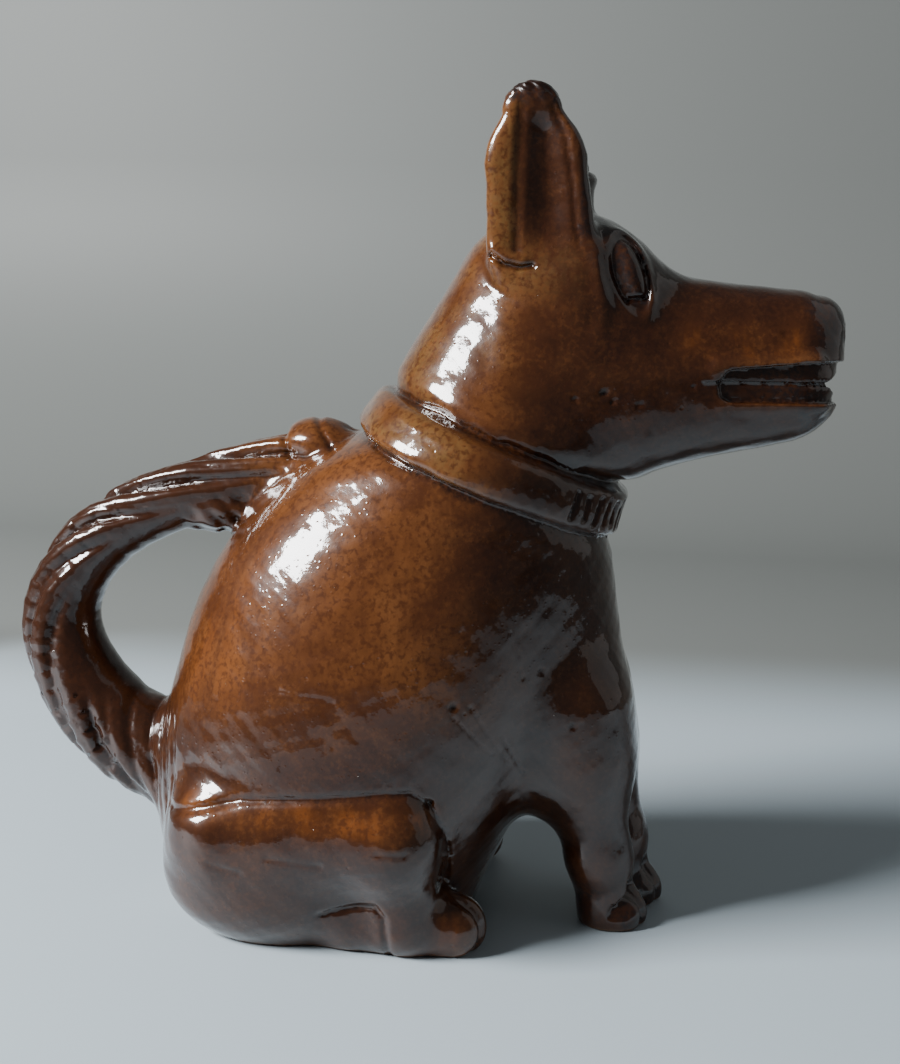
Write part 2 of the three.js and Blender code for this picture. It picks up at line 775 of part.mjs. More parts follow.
function innerSpace() {
  const low = onSheet([-80, -66, -2]);
  const high = onSheet([176, 66, 262]);
  return freeForm(inside, low, high, 2.5 * gridStep, insideFaceCount);
}

function fillingHole() {
  const start = 226 * unit;
  const end = fillingRim + 10;
  const hole = new THREE.CylinderGeometry(fillingBore / 2, fillingBore / 2, end - start, 32);
  hole.rotateX(Math.PI / 2);
  hole.translate(fillingPlace, 0, (start + end) / 2);
  return solidFrom(hole);
}

// An oval slot from the front of the lips back into the muzzle.
function pouringMouth() {
  const start = 146 * unit;
  const end = 180 * unit;
  const slot = new THREE.CylinderGeometry(0.5, 0.5, end - start, 24);
  slot.rotateZ(Math.PI / 2);
  slot.scale(1, pourWidth, pourHeight);
  slot.translate((start + end) / 2, 0, mouthHeight);
  return solidFrom(slot);
}

// Everything under the ground, cut away to leave flat soles and a flat underside.
function underground() {
  const depth = 60 * unit;
  const block = new THREE.BoxGeometry(4 * figureHeight, 4 * figureHeight, depth);
  block.translate(0, 0, -depth / 2);
  return solidFrom(block);
}

function pitcherGeometry() {
  const solid = carvedForm()
    .subtract(innerSpace())
    .subtract(fillingHole())
    .subtract(pouringMouth())
    .subtract(underground());
  const skin = solid.getMesh();
  const indexed = new THREE.BufferGeometry();
  indexed.setAttribute("position", new THREE.BufferAttribute(skin.vertProperties, 3));
  indexed.setIndex(new THREE.BufferAttribute(skin.triVerts, 1));
  indexed.computeVertexNormals();
  return indexed;
}

function amberGlaze() {
  return new THREE.MeshStandardMaterial({ color: 0x6e3e1e, roughness: 0.16, metalness: 0 });
}

const wasm = await Module();
wasm.setup();

const pitcher = new THREE.Mesh(pitcherGeometry(), amberGlaze());
pitcher.name = "dog_pitcher";

const dogPitcher = new THREE.Group();
dogPitcher.add(pitcher);

export default dogPitcher;
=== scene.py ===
import math

import bpy
import numpy as np
from mathutils import Matrix, Vector


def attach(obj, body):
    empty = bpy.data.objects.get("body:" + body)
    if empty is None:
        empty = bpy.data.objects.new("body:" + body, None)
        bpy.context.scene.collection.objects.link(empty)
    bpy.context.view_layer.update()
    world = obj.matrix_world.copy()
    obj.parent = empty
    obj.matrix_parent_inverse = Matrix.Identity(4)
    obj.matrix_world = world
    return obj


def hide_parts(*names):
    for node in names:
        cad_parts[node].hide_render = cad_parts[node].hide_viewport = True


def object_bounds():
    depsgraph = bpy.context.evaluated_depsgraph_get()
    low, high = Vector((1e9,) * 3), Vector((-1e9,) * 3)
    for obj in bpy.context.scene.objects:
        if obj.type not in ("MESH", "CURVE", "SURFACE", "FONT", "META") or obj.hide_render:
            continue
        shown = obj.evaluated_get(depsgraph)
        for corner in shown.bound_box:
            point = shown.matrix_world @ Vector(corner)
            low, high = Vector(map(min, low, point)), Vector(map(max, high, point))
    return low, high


# A glazed earthenware pitcher in the shape of a sitting dog, formed in millimetres.
# +X points to the nose, +Y to the dog's left and +Z up. Meshes are made in metres.
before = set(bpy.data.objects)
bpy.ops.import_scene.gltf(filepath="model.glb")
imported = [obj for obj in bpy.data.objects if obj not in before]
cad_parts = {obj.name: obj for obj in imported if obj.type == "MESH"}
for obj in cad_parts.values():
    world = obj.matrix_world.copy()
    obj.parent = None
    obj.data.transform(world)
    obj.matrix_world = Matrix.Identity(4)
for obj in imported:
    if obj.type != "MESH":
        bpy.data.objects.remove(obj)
cad_low, cad_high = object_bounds()

METRES = 0.001

# The forms, with the same sizes as the solid.
wall = 6.0
floor = 8.0
filling_bore = 25.0
filling_wall = 4.5
filling_rise = 13.0
rim_roll = 3.0
pour_width = 27.0
pour_height = 6.4
lip_depth = 4.0
tail_thickness = 23.5
collar_width = 16.5
collar_relief = 2.6
collar_groove = 2.1
ear_thickness = 10.5
ear_hollow = 5.0

net_step = 1.2
faces_outside = 176000
faces_inside = 12000


# Shaping of distance fields, which are negative inside a form.


def smooth_min(a, b, reach):
    overlap = np.maximum(reach - np.abs(a - b), 0)
    return np.minimum(a, b) - overlap * overlap / (4 * reach)


def smooth_max(a, b, reach):
    return -smooth_min(-a, -b, reach)


def mix(a, b, share):
    return a + (b - a) * share


def clamp01(value):
    return np.clip(value, 0, 1)


def ease(start, end, value):
    share = clamp01((value - start) / (end - start))
    return share * share * (3 - 2 * share)


def bell(distance, half_width):
    return np.exp(-((distance / half_width) ** 2))


def from_line(spots, u, v):
    """Distance in a plane to a line through a few spots."""
    nearest = np.full(u.shape, np.inf)
    for (u0, v0), (u1, v1) in zip(spots, spots[1:]):
        du, dv = u1 - u0, v1 - v0
        share = clamp01(((u - u0) * du + (v - v0) * dv) / (du * du + dv * dv))
        nearest = np.minimum(nearest, np.hypot(u - u0 - du * share, v - v0 - dv * share))
    return nearest


def joined(reach, *fields):
    def field(x, y, z):
        value = fields[0](x, y, z)
        for other in fields[1:]:
            value = smooth_min(value, other(x, y, z), reach)
        return value

    return field


def mirrored(field):
    return lambda x, y, z: field(x, np.abs(y), z)


def ellipsoid(centre, radii, tilt=0.0):
    cos_tilt, sin_tilt = math.cos(math.radians(tilt)), math.sin(math.radians(tilt))

    def field(x, y, z):
        dx, dy, dz = x - centre[0], y - centre[1], z - centre[2]
        u = (dx * cos_tilt - dz * sin_tilt) / radii[0]
        v = dy / radii[1]
        w = (dx * sin_tilt + dz * cos_tilt) / radii[2]
        size = np.sqrt(u * u + v * v + w * w)
        slope = np.sqrt((u / radii[0]) ** 2 + (v / radii[1]) ** 2 + (w / radii[2]) ** 2)
        return size * (size - 1) / np.maximum(slope, 1e-6)

    return field


def limb(start, start_radius, end, end_radius, start_narrow=1.0, end_narrow=1.0):
    start, end = np.array(start, float), np.array(end, float)
    along = end - start
    length_squared = along @ along

    def field(x, y, z):
        dx, dy, dz = x - start[0], y - start[1], z - start[2]
        share = clamp01((dx * along[0] + dy * along[1] + dz * along[2]) / length_squared)
        narrow = mix(start_narrow, end_narrow, share)
        gap = np.sqrt(
            (dx - along[0] * share) ** 2
            + ((dy - along[1] * share) * narrow) ** 2
            + (dz - along[2] * share) ** 2
        )
        return gap - mix(start_radius, end_radius, share)

    return field


def between(rows, column, place):
    """A smooth value through the rows of a table whose first column is the place."""
    rows = np.array(rows, float)
    places, values = rows[:, 0], rows[:, column]
    last = len(rows) - 1
    before = np.maximum(np.arange(last + 1) - 1, 0)
    after = np.minimum(np.arange(last + 1) + 1, last)
    slopes = (values[after] - values[before]) / (places[after] - places[before])
    row = np.clip(np.searchsorted(places, place) - 1, 0, last - 1)
    span = places[row + 1] - places[row]
    share = clamp01((place - places[row]) / span)
    rise = share * share * (3 - 2 * share)
    bend = slopes[row] * (1 - share) - slopes[row + 1] * share
    return mix(values[row], values[row + 1], rise) + span * share * (1 - share) * bend


def oval(u, v, a, b, fullness):
    p, q = np.abs(u) / a, np.abs(v) / b
    size = (p**fullness + q**fullness) ** (1 / fullness)
    safe = np.maximum(size, 0.05)
    slope = np.sqrt(
        ((p / safe) ** (fullness - 1) / a) ** 2 + ((q / safe) ** (fullness - 1) / b) ** 2
    )
    return np.where(size < 0.05, -np.minimum(a, b), (size - 1) / np.maximum(slope, 1e-9))


# The thrown pot that makes rump, belly and shoulders: height, rear, front, half width.
pot_rows = [
    (-14, -43, 44, 44),
    (0, -53, 49, 47),
    (14, -62, 54, 54),
    (32, -67, 62, 60),
    (58, -67, 72, 63),
    (88, -60, 80, 62),
    (116, -51, 85, 58),
    (140, -37, 87, 52),
    (158, -19, 90, 47),
    (176, 3, 91, 43),
]


pot_top = 174
pot_fullness = 2.15


def pot(x, y, z):
    rear, front, half_width = (between(pot_rows, column, z) for column in (1, 2, 3))
    side = oval(x - (rear + front) / 2, y, (front - rear) / 2, half_width, pot_fullness)
    return smooth_max(side * 0.94, z - pot_top, 16)


chest = limb((65, 0, 138), 27, (80, 0, 62), 26, 0.86, 0.86)
neck_and_skull = limb((50, 0, 168), 42, (71, 0, 214), 37, 0.97, 1.18)

# The muzzle, a loaf along X: place, top, underside, half width.
muzzle_rows = [
    (66, 222, 168, 28),
    (84, 234, 160, 31),
    (98, 234, 159, 31),
    (112, 229.5, 164, 28.5),
    (126, 227.5, 168, 26),
    (142, 226, 171.5, 23.5),
    (156, 225, 175, 22),
    (172, 222, 181, 21),
]


muzzle_rear, muzzle_front = 62, 169
muzzle_fullness = 2.7


def muzzle(x, y, z):
    top, under, half_width = (between(muzzle_rows, column, x) for column in (1, 2, 3))
    middle = (top + under) / 2
    taper = 1 - 0.16 * clamp01((z - middle) / 26)
    loaf = oval(y, z - middle, half_width * taper, (top - under) / 2, muzzle_fullness)
    return smooth_max(smooth_max(loaf, x - muzzle_front, 17), muzzle_rear - x, 4)


brow = mirrored(ellipsoid((84, 15, 230), (15, 13, 12.5), 24))
vessel = joined(13, pot, chest, neck_and_skull, muzzle, brow)

# The collar's plane slopes down to the front.
collar_x, collar_z = 52, 165
collar_slope = math.radians(21.6)
groove_gap = 2.17
groove_half_width = 3.1


def above_collar(x, z):
    return (x - collar_x) * math.sin(collar_slope) + (z - collar_z) * math.cos(collar_slope)


def collar_band(x, z, skin):
    edge = np.abs(above_collar(x, z)) - collar_width / 2
    crown = collar_relief * (1 - 0.35 * clamp01(1 + edge / (collar_width / 2)) ** 3)
    return smooth_max(skin - crown, edge, 3.5)


def collar_grooves(x, z):
    """A broad furrow over and under the collar, each with a creased bottom that wavers."""
    height = above_collar(x, z)
    upper = bell(height - collar_width / 2 - groove_gap, groove_half_width)
    lower = bell(height + collar_width / 2 + groove_gap, groove_half_width)
    wobble = 0.45 * np.sin(0.21 * x + 0.4) + 0.25 * np.sin(0.52 * x + 1.7)
    upper_crease = bell(height - collar_width / 2 - 1.1 - wobble, 1.4)
    lower_crease = bell(height + collar_width / 2 + 0.9 - 0.6 * wobble, 1.2)
    creases = 1.3 * upper_crease + 0.7 * lower_crease
    return collar_groove * (0.75 * upper + 0.4 * lower) + creases


thigh = limb((-32, 42, 38), 22.5, (23, 49, 42.5), 18.5)
shank = limb((24, 49, 38), 16, (29, 46, 14), 12)
haunch = mirrored(joined(8, thigh, shank))
seat = mirrored(ellipsoid((-20, 38, 22), (36, 24, 25)))
hock = mirrored(limb((12, 45, 9), 10, (30, 44, 10), 11.5))
hind_foot = mirrored(limb((30, 43.5, 10), 12.5, (45.5, 43, 8.5), 11.5))


foreleg_place = 11.5
hind_foot_place = 42.5
left_lead, right_lead = 4.5, -1.5


def foreleg(side):
    lead = left_lead if side > 0 else right_lead
    middle = side * foreleg_place
    upper = limb((83, side * 14, 80), 18, (95.5 + lead, middle, 24), 11)
    ankle = limb((95.5 + lead, middle, 24), 11, (99 + lead, middle, 5), 9.5)
    paw = ellipsoid((102 + lead, middle, 4), (12, 10.5, 10))
    return joined(6, upper, ankle, paw)


forelegs = joined(3, foreleg(-1), foreleg(1))


def toe_grooves(x, y, z):
    """Two grooves on each foot, which part its three toes."""
    hind_toes = bell(np.abs(np.abs(y) - hind_foot_place) - 4.4, 1.9)
    fore_toes = bell(np.abs(np.abs(y) - foreleg_place) - 3.8, 1.9)
    on_hind = ease(43, 50, x) * ease(70, 66, x) * ease(28, 22, z)
    on_fore = ease(98, 104, x) * ease(20, 14, z)
    return 1.8 * (hind_toes * on_hind + fore_toes * on_fore)


# The tail: place along X, height, share of the tail's thickness.
tail_rows = [
    (-12, 163, 0.94),
    (-38, 154, 0.96),
    (-62, 146, 1),
    (-87, 133, 1.02),
    (-102, 115, 1.1),
    (-106, 98, 1.18),
    (-102, 82, 1.3),
    (-92, 67, 1.4),
    (-78, 55, 1.5),
    (-60, 47, 1.5),
]


def tail_path(steps_per_row=3):
    rows = np.array(tail_rows, float)
    padded = np.vstack([rows[:1], rows, rows[-1:]])
    points = []
    for step in range((len(rows) - 1) * steps_per_row + 1):
        span = min(step // steps_per_row, len(rows) - 2)
        share = step / steps_per_row - span
        a, b, c, d = padded[span : span + 4]
        bend = (2 * a - 5 * b + 4 * c - d) * share**2
        twist = (3 * b - a - 3 * c + d) * share**3
        points.append(0.5 * (2 * b + (c - a) * share + bend + twist))
    points = np.array(points)
    run = np.concatenate([[0], np.cumsum(np.hypot(*np.diff(points[:, :2], axis=0).T))])
    return points[:, 0], points[:, 1], points[:, 2] * tail_thickness / 2, run


tail_x, tail_z, tail_radius, tail_run = tail_path()


def along_tail(x, y, z):
    """Gap to the tail's skin, place outward of its line, radius and run along it."""
    gap = np.full(x.shape, np.inf)
    outward, radius, run = np.zeros(x.shape), np.ones(x.shape), np.zeros(x.shape)
    for index in range(1, len(tail_x)):
        x0, z0 = tail_x[index - 1], tail_z[index - 1]
        dx, dz = tail_x[index] - x0, tail_z[index] - z0
        length = math.hypot(dx, dz)
        share = clamp01(((x - x0) * dx + (z - z0) * dz) / length**2)
        in_plane = np.hypot(x - x0 - dx * share, z - z0 - dz * share)
        here_radius = mix(tail_radius[index - 1], tail_radius[index], share)
        here = np.hypot(in_plane, y) - here_radius
        closer = here < gap
        gap = np.where(closer, here, gap)
        outward = np.where(closer, ((x - x0) * dz - (z - z0) * dx) / length, outward)
        radius = np.where(closer, here_radius, radius)
        run = np.where(closer, mix(tail_run[index - 1], tail_run[index], share), run)
    return gap, outward, radius, run


lock_pitch = 33
lock_slant = 6.5


def tail_locks(y, outward, radius, run):
    """Deep slanting furrows between the long locks of hair, and a few fine strands."""
    angle = np.abs(np.arctan2(y, outward))
    phase = lock_slant * angle + 2 * math.pi * run / lock_pitch + 0.8 * np.sin(run / 13)
    furrow = (0.5 - 0.5 * np.cos(phase)) ** 3
    leaf = 0.35 + 0.65 * (0.5 + 0.5 * np.cos(2 * math.pi * run / 37 + 2.5 * angle + 1))
    roll = 0.5 + 0.5 * np.cos(phase)
    strands = (0.5 - 0.5 * np.cos(2.7 * phase + np.sin(run / 6))) ** 3
    outer_side = ease(-0.45, 0.3, outward / radius)
    return (3.4 * furrow * leaf - 0.8 * roll + 0.2 * strands) * outer_side


def tail(x, y, z):
    """The raised tail; far from it a plain large distance is enough."""
    value = np.full(x.shape, 60.0)
    near = (x < 22) & (z > 15)
    gap, outward, radius, run = along_tail(x[near], y[near], z[near])
    locks = tail_locks(y[near], outward, radius, run)
    value[near] = gap + np.where(gap < 8, locks, 0)
    return value


finger_width = 7.5


def tail_root_flutes(x, y, z):
    """Finger strokes where the root of the tail was smeared onto the body."""
    across = np.cos(2 * math.pi * (x + 0.25 * z + 0.3 * np.abs(y)) / finger_width)
    near = ease(-92, -82, x) * ease(-48, -58, x) * ease(30, 42, z) * ease(80, 66, z)
    return 0.8 * (0.5 - 0.5 * across) ** 2 * near


tail_tip = ellipsoid((-9, 0, 167), (14, 13, 9.5), 12)

# Ears: upright leaves that lean outward a little, hollowed on their outer face.
ear_place = 24.5
ear_root = 238
ear_lean = 0.05
ear_front_line = [(69, 281), (73.5, 272), (76, 258), (77.5, 245), (79, 238)]
ear_blade = limb((66.3, 0, 238), 18.2, (63.8, 0, 265), 16.2)
ear_tip = limb((63.8, 0, 265), 16.2, (62.2, 0, 279.8), 10)
ear_outline = joined(2, ear_blade, ear_tip)


def ear_leaf(x, y, z):
    leaf = ear_outline(x, 0 * y, z)
    across = np.abs(y - ear_place - (z - ear_root) * ear_lean) - ear_thickness / 2
    return smooth_max(leaf, across, 6)


def ear_sink(x, z):
    """Depth of the hollow in an ear's outer face, and of the creases along its two rims."""
    flat = np.zeros(x.shape)
    cup = limb((69.5, 0, 237), 9.5, (66.5, 0, 273), 8)(x, flat, z)
    crease = from_line([(58.6, 236), (58.2, 262), (58.8, 281)], x, z)
    front_line = from_line(ear_front_line, x, z)
    lines = 1.2 * bell(crease, 1.7) + 0.8 * bell(front_line, 1.2)
    return 0.85 * ear_hollow * ease(3.5, -9, cup) * ease(227, 254, z) + lines


def one_ear(x, y, z):
    outer_face = ear_place + ear_lean * (z - ear_root) + ear_thickness / 2
    return smooth_max(ear_leaf(x, y, z), y - outer_face + ear_sink(x, z), 3)


ears = mirrored(one_ear)


def ear_marks(x, y, z):
    """The rough tip of an ear, and the fold under its rear rim where it meets the head."""
    rough = np.sin(1.3 * x + 0.5 * z) * np.sin(1.1 * y + 0.4) + 0.6 * np.sin(2.3 * z + 1.9 * x + y)
    tip = 0.2 * rough * ease(281, 287, z)
    fold = from_line([(50.5, 233.8), (55, 231), (60, 230), (64, 230.8)], x, z)
    lip = from_line([(51, 236), (56, 233.4), (61, 232.8)], x, z)
    on_side = ease(20, 25, np.abs(y))
    return tip + (1.3 * bell(fold, 1.0) - 0.6 * bell(lip, 1.6)) * on_side


# The filling neck between the ears.
filling_x = 66.0
crown_height = 250.0
filling_rim = crown_height + filling_rise


filling_foot = 236


def filling_neck(x, y, z):
    from_axis = np.hypot(x - filling_x, y)
    outer = filling_bore / 2 + filling_wall
    tube = np.maximum(from_axis - outer, z - filling_rim + rim_roll)
    tube = np.maximum(tube, filling_foot - z)
    roll = np.hypot(from_axis - outer + rim_roll * 0.8, z - filling_rim + rim_roll)
    return smooth_min(tube, roll - rim_roll, 1.5)


# The mouth.
mouth_height = 194.6
mouth_corner = 121.0
pocket_height = 193.5
pocket_rear = 131.5
pocket_radius = 4.8
pocket_depth = 2.0


def mouth_groove(x, z, skin):
    """A shallow pocket with a rounded rear end, and the slit between the lips in it."""
    rounded = np.maximum(pocket_rear - x, 0)
    rise = 0.045 * clamp01((x - 126) / 34) * 34
    from_middle = np.maximum(np.abs(z - pocket_height - rise) - 0.6 - rise, 0)
    pocket = np.hypot(rounded * 0.95, from_middle) - pocket_radius
    pocket = smooth_max(pocket * 0.9, -(skin + pocket_depth), 0.8)
    half_gap = (0.35 + 0.75 * ease(-4, 0, skin)) * ease(mouth_corner - 1, mouth_corner + 8, x)
    slit = np.maximum(np.abs(z - mouth_height) - half_gap, -(skin + lip_depth))
    slit = np.maximum(slit, mouth_corner - x)
    return smooth_min(pocket, slit, 0.8)


lower_lip = mirrored(limb((128, 21.5, 187.5), 2.6, (160, 17.5, 188.5), 3))
upper_lip = mirrored(limb((126, 24, 200), 2, (158, 20.5, 201.5), 2.6))
nose_leather = ellipsoid((162.5, 0, 213.5), (6.5, 13, 9.5), -6)
nostrils = mirrored(ellipsoid((168.5, 6.5, 211), (2.6, 3, 2.6)))

eye_x, eye_z = 95.8, 229.2
eye_tilt = 20
socket = mirrored(ellipsoid((96, 31, 229.5), (8.5, 5.5, 14), -eye_tilt))
eyeball = mirrored(ellipsoid((eye_x, 21.4, eye_z), (4.7, 5.6, 11.2), -eye_tilt))


def eye_rims(x, y, z):
    """The lids round each eye, and the slit under it."""
    turn = math.radians(eye_tilt)
    across = (x - eye_x) * math.cos(turn) + (z - eye_z) * math.sin(turn)
    upward = (z - eye_z) * math.cos(turn) - (x - eye_x) * math.sin(turn)
    size = np.hypot(across / 4.9, upward / 11.6)
    front_lid = 0.45 + 0.55 * ease(-2, 3, across)
    rim = 0.9 * bell(size - 1.3, 0.22) * front_lid
    slit = 0.7 * bell(size - 0.98, 0.17)
    lower_slit = 1.3 * bell(from_line([(95.5, 220.8), (100.6, 221.2)], x, z), 0.9)
    on_side = ease(15, 20, np.abs(y)) * (size < 2.2)
    return (slit - rim) * on_side + lower_slit * ease(15, 20, np.abs(y))


def cheek_fold(x, y, z):
    """The ridge that runs from the front of each ear down the cheek."""
    line = from_line([(83.5, 238), (86, 229), (88, 216), (86, 206)], x, z)
    fade = ease(203, 216, z) * ease(18, 24, np.abs(y))
    return 0.3 * (bell(line, 2.2) - 0.6 * bell(line - 4, 2)) * fade


# Strokes cut into the front of the collar: arc from the front, slant, half length.
collar_strokes = [
    (-40, 0.34, 4.0),
    (-34.5, 0.26, 3.4),
    (-28.5, 0.4, 4.3),
    (-23, 0.32, 4.4),
    (-17.5, 0.22, 3.4),
    (-11.5, 0.36, 4.4),
    (-6, 0.42, 3.9),
    (0, 0.3, 4.4),
    (5.5, 0.24, 3.6),
    (11.5, 0.38, 4.3),
    (17, 0.3, 4.4),
    (23, 0.42, 3.5),
    (29, 0.34, 4.3),
    (35.5, 0.26, 3.8),
]


collar_radius = 45
stroke_half_width = 0.95
stroke_depth = 1.15


def collar_carving(x, y, z):
    arc = np.arctan2(y, x - collar_x) * collar_radius
    height = above_collar(x, z)
    depth = np.zeros(x.shape)
    for place, slant, half_length in collar_strokes:
        across = arc - place - slant * height
        beyond = np.maximum(np.abs(height) - half_length, 0)
        depth = np.maximum(depth, bell(np.hypot(across, beyond), stroke_half_width))
    return stroke_depth * depth


# Creases of the haunch, the knee and the heel, drawn on the side.
haunch_line = [(-50, 47), (-25, 54.5), (-2, 57), (23, 59.5), (31, 59.5), (37, 55.5)]
knee_line = [(37, 55.5), (42.5, 44), (43, 34), (41.5, 24)]
heel_line = [(2, 15.5), (13, 18.5), (20.5, 19.5), (23.5, 16), (24.4, 8), (25, -2)]
thigh_strokes = [[(-15, 37), (3, 35.5)], [(22, 41.5), (31, 41.2)], [(-34, 33), (-24, 31)]]
flank_scratches = [
    [(44, 86), (57, 70)],
    [(50, 88), (62, 66)],
    [(60, 76), (67, 60)],
    [(-12, 92), (6, 90)],
    [(62, 112), (66, 96)],
]


def side_creases(x, y, z):
    side = ease(28, 36, np.abs(y))
    seen_side = ease(-20, -28, y)
    depth = 0.95 * bell(from_line(haunch_line, x, z), 1.5) * side
    depth = depth + 1.3 * bell(from_line(knee_line, x, z), 1.5) * side
    depth = depth + 0.8 * bell(from_line(heel_line, x, z), 1.3) * side
    for stroke in thigh_strokes:
        depth = depth + 0.35 * bell(from_line(stroke, x, z), 1.2) * side
    for scratch in flank_scratches:
        depth = depth + 0.22 * bell(from_line(scratch, x, z), 0.7) * seen_side
    return depth


# Pits and chips in the glaze: place, radius and depth.
pits = [
    ((44.4, -55.3, 88.5), 1.2, 1.0),
    ((71.9, -37.0, 97.2), 1.0, 0.8),
    ((83.3, -34.3, 78.0), 0.9, 0.8),
    ((79.6, -34.0, 188.1), 0.9, 0.7),
    ((89, -31.8, 190.5), 1.1, 0.8),
    ((92, -31.5, 187.5), 0.8, 0.7),
    ((100.8, -30.4, 186.9), 0.8, 0.7),
    ((118, -26.5, 193), 0.9, 0.7),
    ((147, -21, 211), 1.0, 0.7),
    ((143, -21, 214), 0.8, 0.6),
    ((104, -29, 176), 1.4, -0.7),
    ((66, -37, 205), 1.0, 0.6),
    ((-30, -60, 98), 0.8, 0.6),
    ((12, -61, 70), 0.9, 0.7),
    ((30, 58, 96), 1.1, 0.8),
    ((-20, 60, 74), 0.9, 0.7),
    ((60, 45, 120), 1.0, 0.8),
    ((20, 47, 186), 0.9, 0.6),
    ((100, 30, 190), 1.0, 0.7),
]


def pitting(x, y, z):
    depth = np.zeros(x.shape)
    for (px, py, pz), radius, deep in pits:
        gap = ((x - px) ** 2 + (y - py) ** 2 + (z - pz) ** 2) / radius**2
        depth = depth + deep * np.exp(-gap)
    return depth


def hand_marks(x, y, z):
    """The slow unevenness that hands leave on soft clay."""
    broad = np.sin(0.06 * x + 0.12 * z + 1.3) * np.sin(0.1 * y - 0.035 * x) + np.sin(
        0.14 * z - 0.05 * y + 0.7
    ) * np.sin(0.07 * x + 0.4)
    small = np.sin(0.31 * x + 0.23 * y) * np.sin(0.47 * z - 0.19 * y + 1.1) + np.sin(
        0.63 * z + 0.17 * x + 2.0
    ) * np.sin(0.37 * y - 0.29 * x)
    fine = np.sin(0.9 * x + 0.7 * y + 2.1 * np.sin(0.11 * z)) * np.sin(1.15 * z + 0.4 * x)
    return 0.13 * broad + 0.06 * small + 0.04 * fine


outer_toe_line = [(-22.5, 6.5), (-19, 11), (-13.5, 14.8)]
pinch = ellipsoid((-46, 0, 142), (12, 11, 7), -20)


def pinched_clay(x, y, z):
    """The crumpled pinch between tail and back, and the edges of the rolled knob."""
    crumpled = np.sin(0.5 * x + 0.8 * z) * np.sin(0.45 * y + 0.3 * x + 1)
    crumpled = crumpled * ease(5, -2, pinch(x, y, z))
    knob_edge = ease(8, 2, np.abs(tail_tip(x, y, z))) * ease(157, 163, z)
    roll_line = bell(x + 0.35 * (z - 168) + 21.5, 1.3) + 0.8 * bell(x + 0.7 * (z - 168) + 5, 1.4)
    return crumpled, roll_line * knob_edge


def outer_form(x, y, z):
    """The outside; the last number of each join is how softly it blends."""
    shell = vessel(x, y, z)
    form = smooth_max(shell, -socket(x, y, z), 3)
    form = smooth_min(form, eyeball(x, y, z), 1.2)
    form = form + eye_rims(x, y, z) - cheek_fold(x, y, z)
    form = smooth_min(form, nose_leather(x, y, z), 3)
    form = smooth_max(form, -nostrils(x, y, z), 1.5)
    form = smooth_min(form, lower_lip(x, y, z), 3)
    form = smooth_min(form, upper_lip(x, y, z), 4)
    form = smooth_max(form, -mouth_groove(x, z, shell), 0.8)
    form = smooth_min(form, seat(x, y, z), 10)
    form = smooth_min(form, haunch(x, y, z), 6)
    form = smooth_min(form, hock(x, y, z), 9)
    form = smooth_min(form, hind_foot(x, y, z), 3)
    form = smooth_min(form, forelegs(x, y, z), 12)
    outer_toe = 1.6 * bell(from_line(outer_toe_line, y, z), 1.3) * ease(97, 100, x)
    form = form + toe_grooves(x, y, z) + outer_toe + side_creases(x, y, z)
    form = smooth_min(form, ears(x, y, z), 4)
    form = form + ear_marks(x, y, z)
    form = smooth_min(form, filling_neck(x, y, z), 3)
    near_collar = ease(6, 1, np.abs(form - shell))
    form = form + collar_grooves(x, z) * near_collar
    form = smooth_min(form, collar_band(x, z, shell) + collar_carving(x, y, z), 1)
    form = smooth_min(form, tail(x, y, z), 9)
    form = smooth_min(form, tail_tip(x, y, z), 3)
    form = smooth_min(form, pinch(x, y, z), 5)
    crumpled, roll_line = pinched_clay(x, y, z)
    form = form + 0.8 * crumpled + 0.9 * roll_line + tail_root_flutes(x, y, z)
    return form + pitting(x, y, z) + hand_marks(x, y, z)


bore_foot = 226
slot_rear = 146
slot_fullness = 2.0


def hollow(x, y, z):
    """The inside with its throwing rings, the filling bore and the slot between the lips."""
    rings = 0.25 * np.sin(z * 0.9 + 0.4 * np.sin(x * 0.05))
    inner = smooth_max(vessel(x, y, z) + wall + rings, floor - z, 6)
    bore = np.maximum(np.hypot(x - filling_x, y) - filling_bore / 2, bore_foot - z)
    slot = oval(y, z - mouth_height, pour_width / 2, pour_height / 2, slot_fullness)
    slot = np.maximum(slot, slot_rear - x)
    return smooth_min(smooth_min(inner, bore, 2), slot, 1.5)


def fired_form(x, y, z):
    solid = smooth_max(outer_form(x, y, z), -hollow(x, y, z), 1.2)
    return smooth_max(solid, -z, 1.4)


# The surface of a field, sampled on a grid and netted with quads.

BLOCK = 4
NEAR_REACH = 1.3
BLOCKS_AT_ONCE = 3000


def sampled(field, low, high, step):
    """Values on a grid: one for a whole block far from the surface, all of them near it."""
    counts = [int(math.ceil((h - l) / step / BLOCK)) for l, h in zip(low, high)]
    blocks = np.stack(
        np.meshgrid(*[np.arange(count) for count in counts], indexing="ij"), -1
    ).reshape(-1, 3)
    middles = (blocks * BLOCK + (BLOCK - 1) / 2) * step + low
    rough = field(*middles.T)
    values = rough.reshape(counts).astype(np.float32)
    for axis in range(3):
        values = np.repeat(values, BLOCK, axis=axis)
    near = blocks[np.abs(rough) < NEAR_REACH * BLOCK * step]
    corners = np.stack(np.meshgrid(*[np.arange(BLOCK)] * 3, indexing="ij"), -1).reshape(-1, 3)
    for part in np.array_split(near, max(1, len(near) // BLOCKS_AT_ONCE)):
        index = (part[:, None] * BLOCK + corners).reshape(-1, 3)
        values[tuple(index.T)] = field(*(index * step + low).T)
    return values


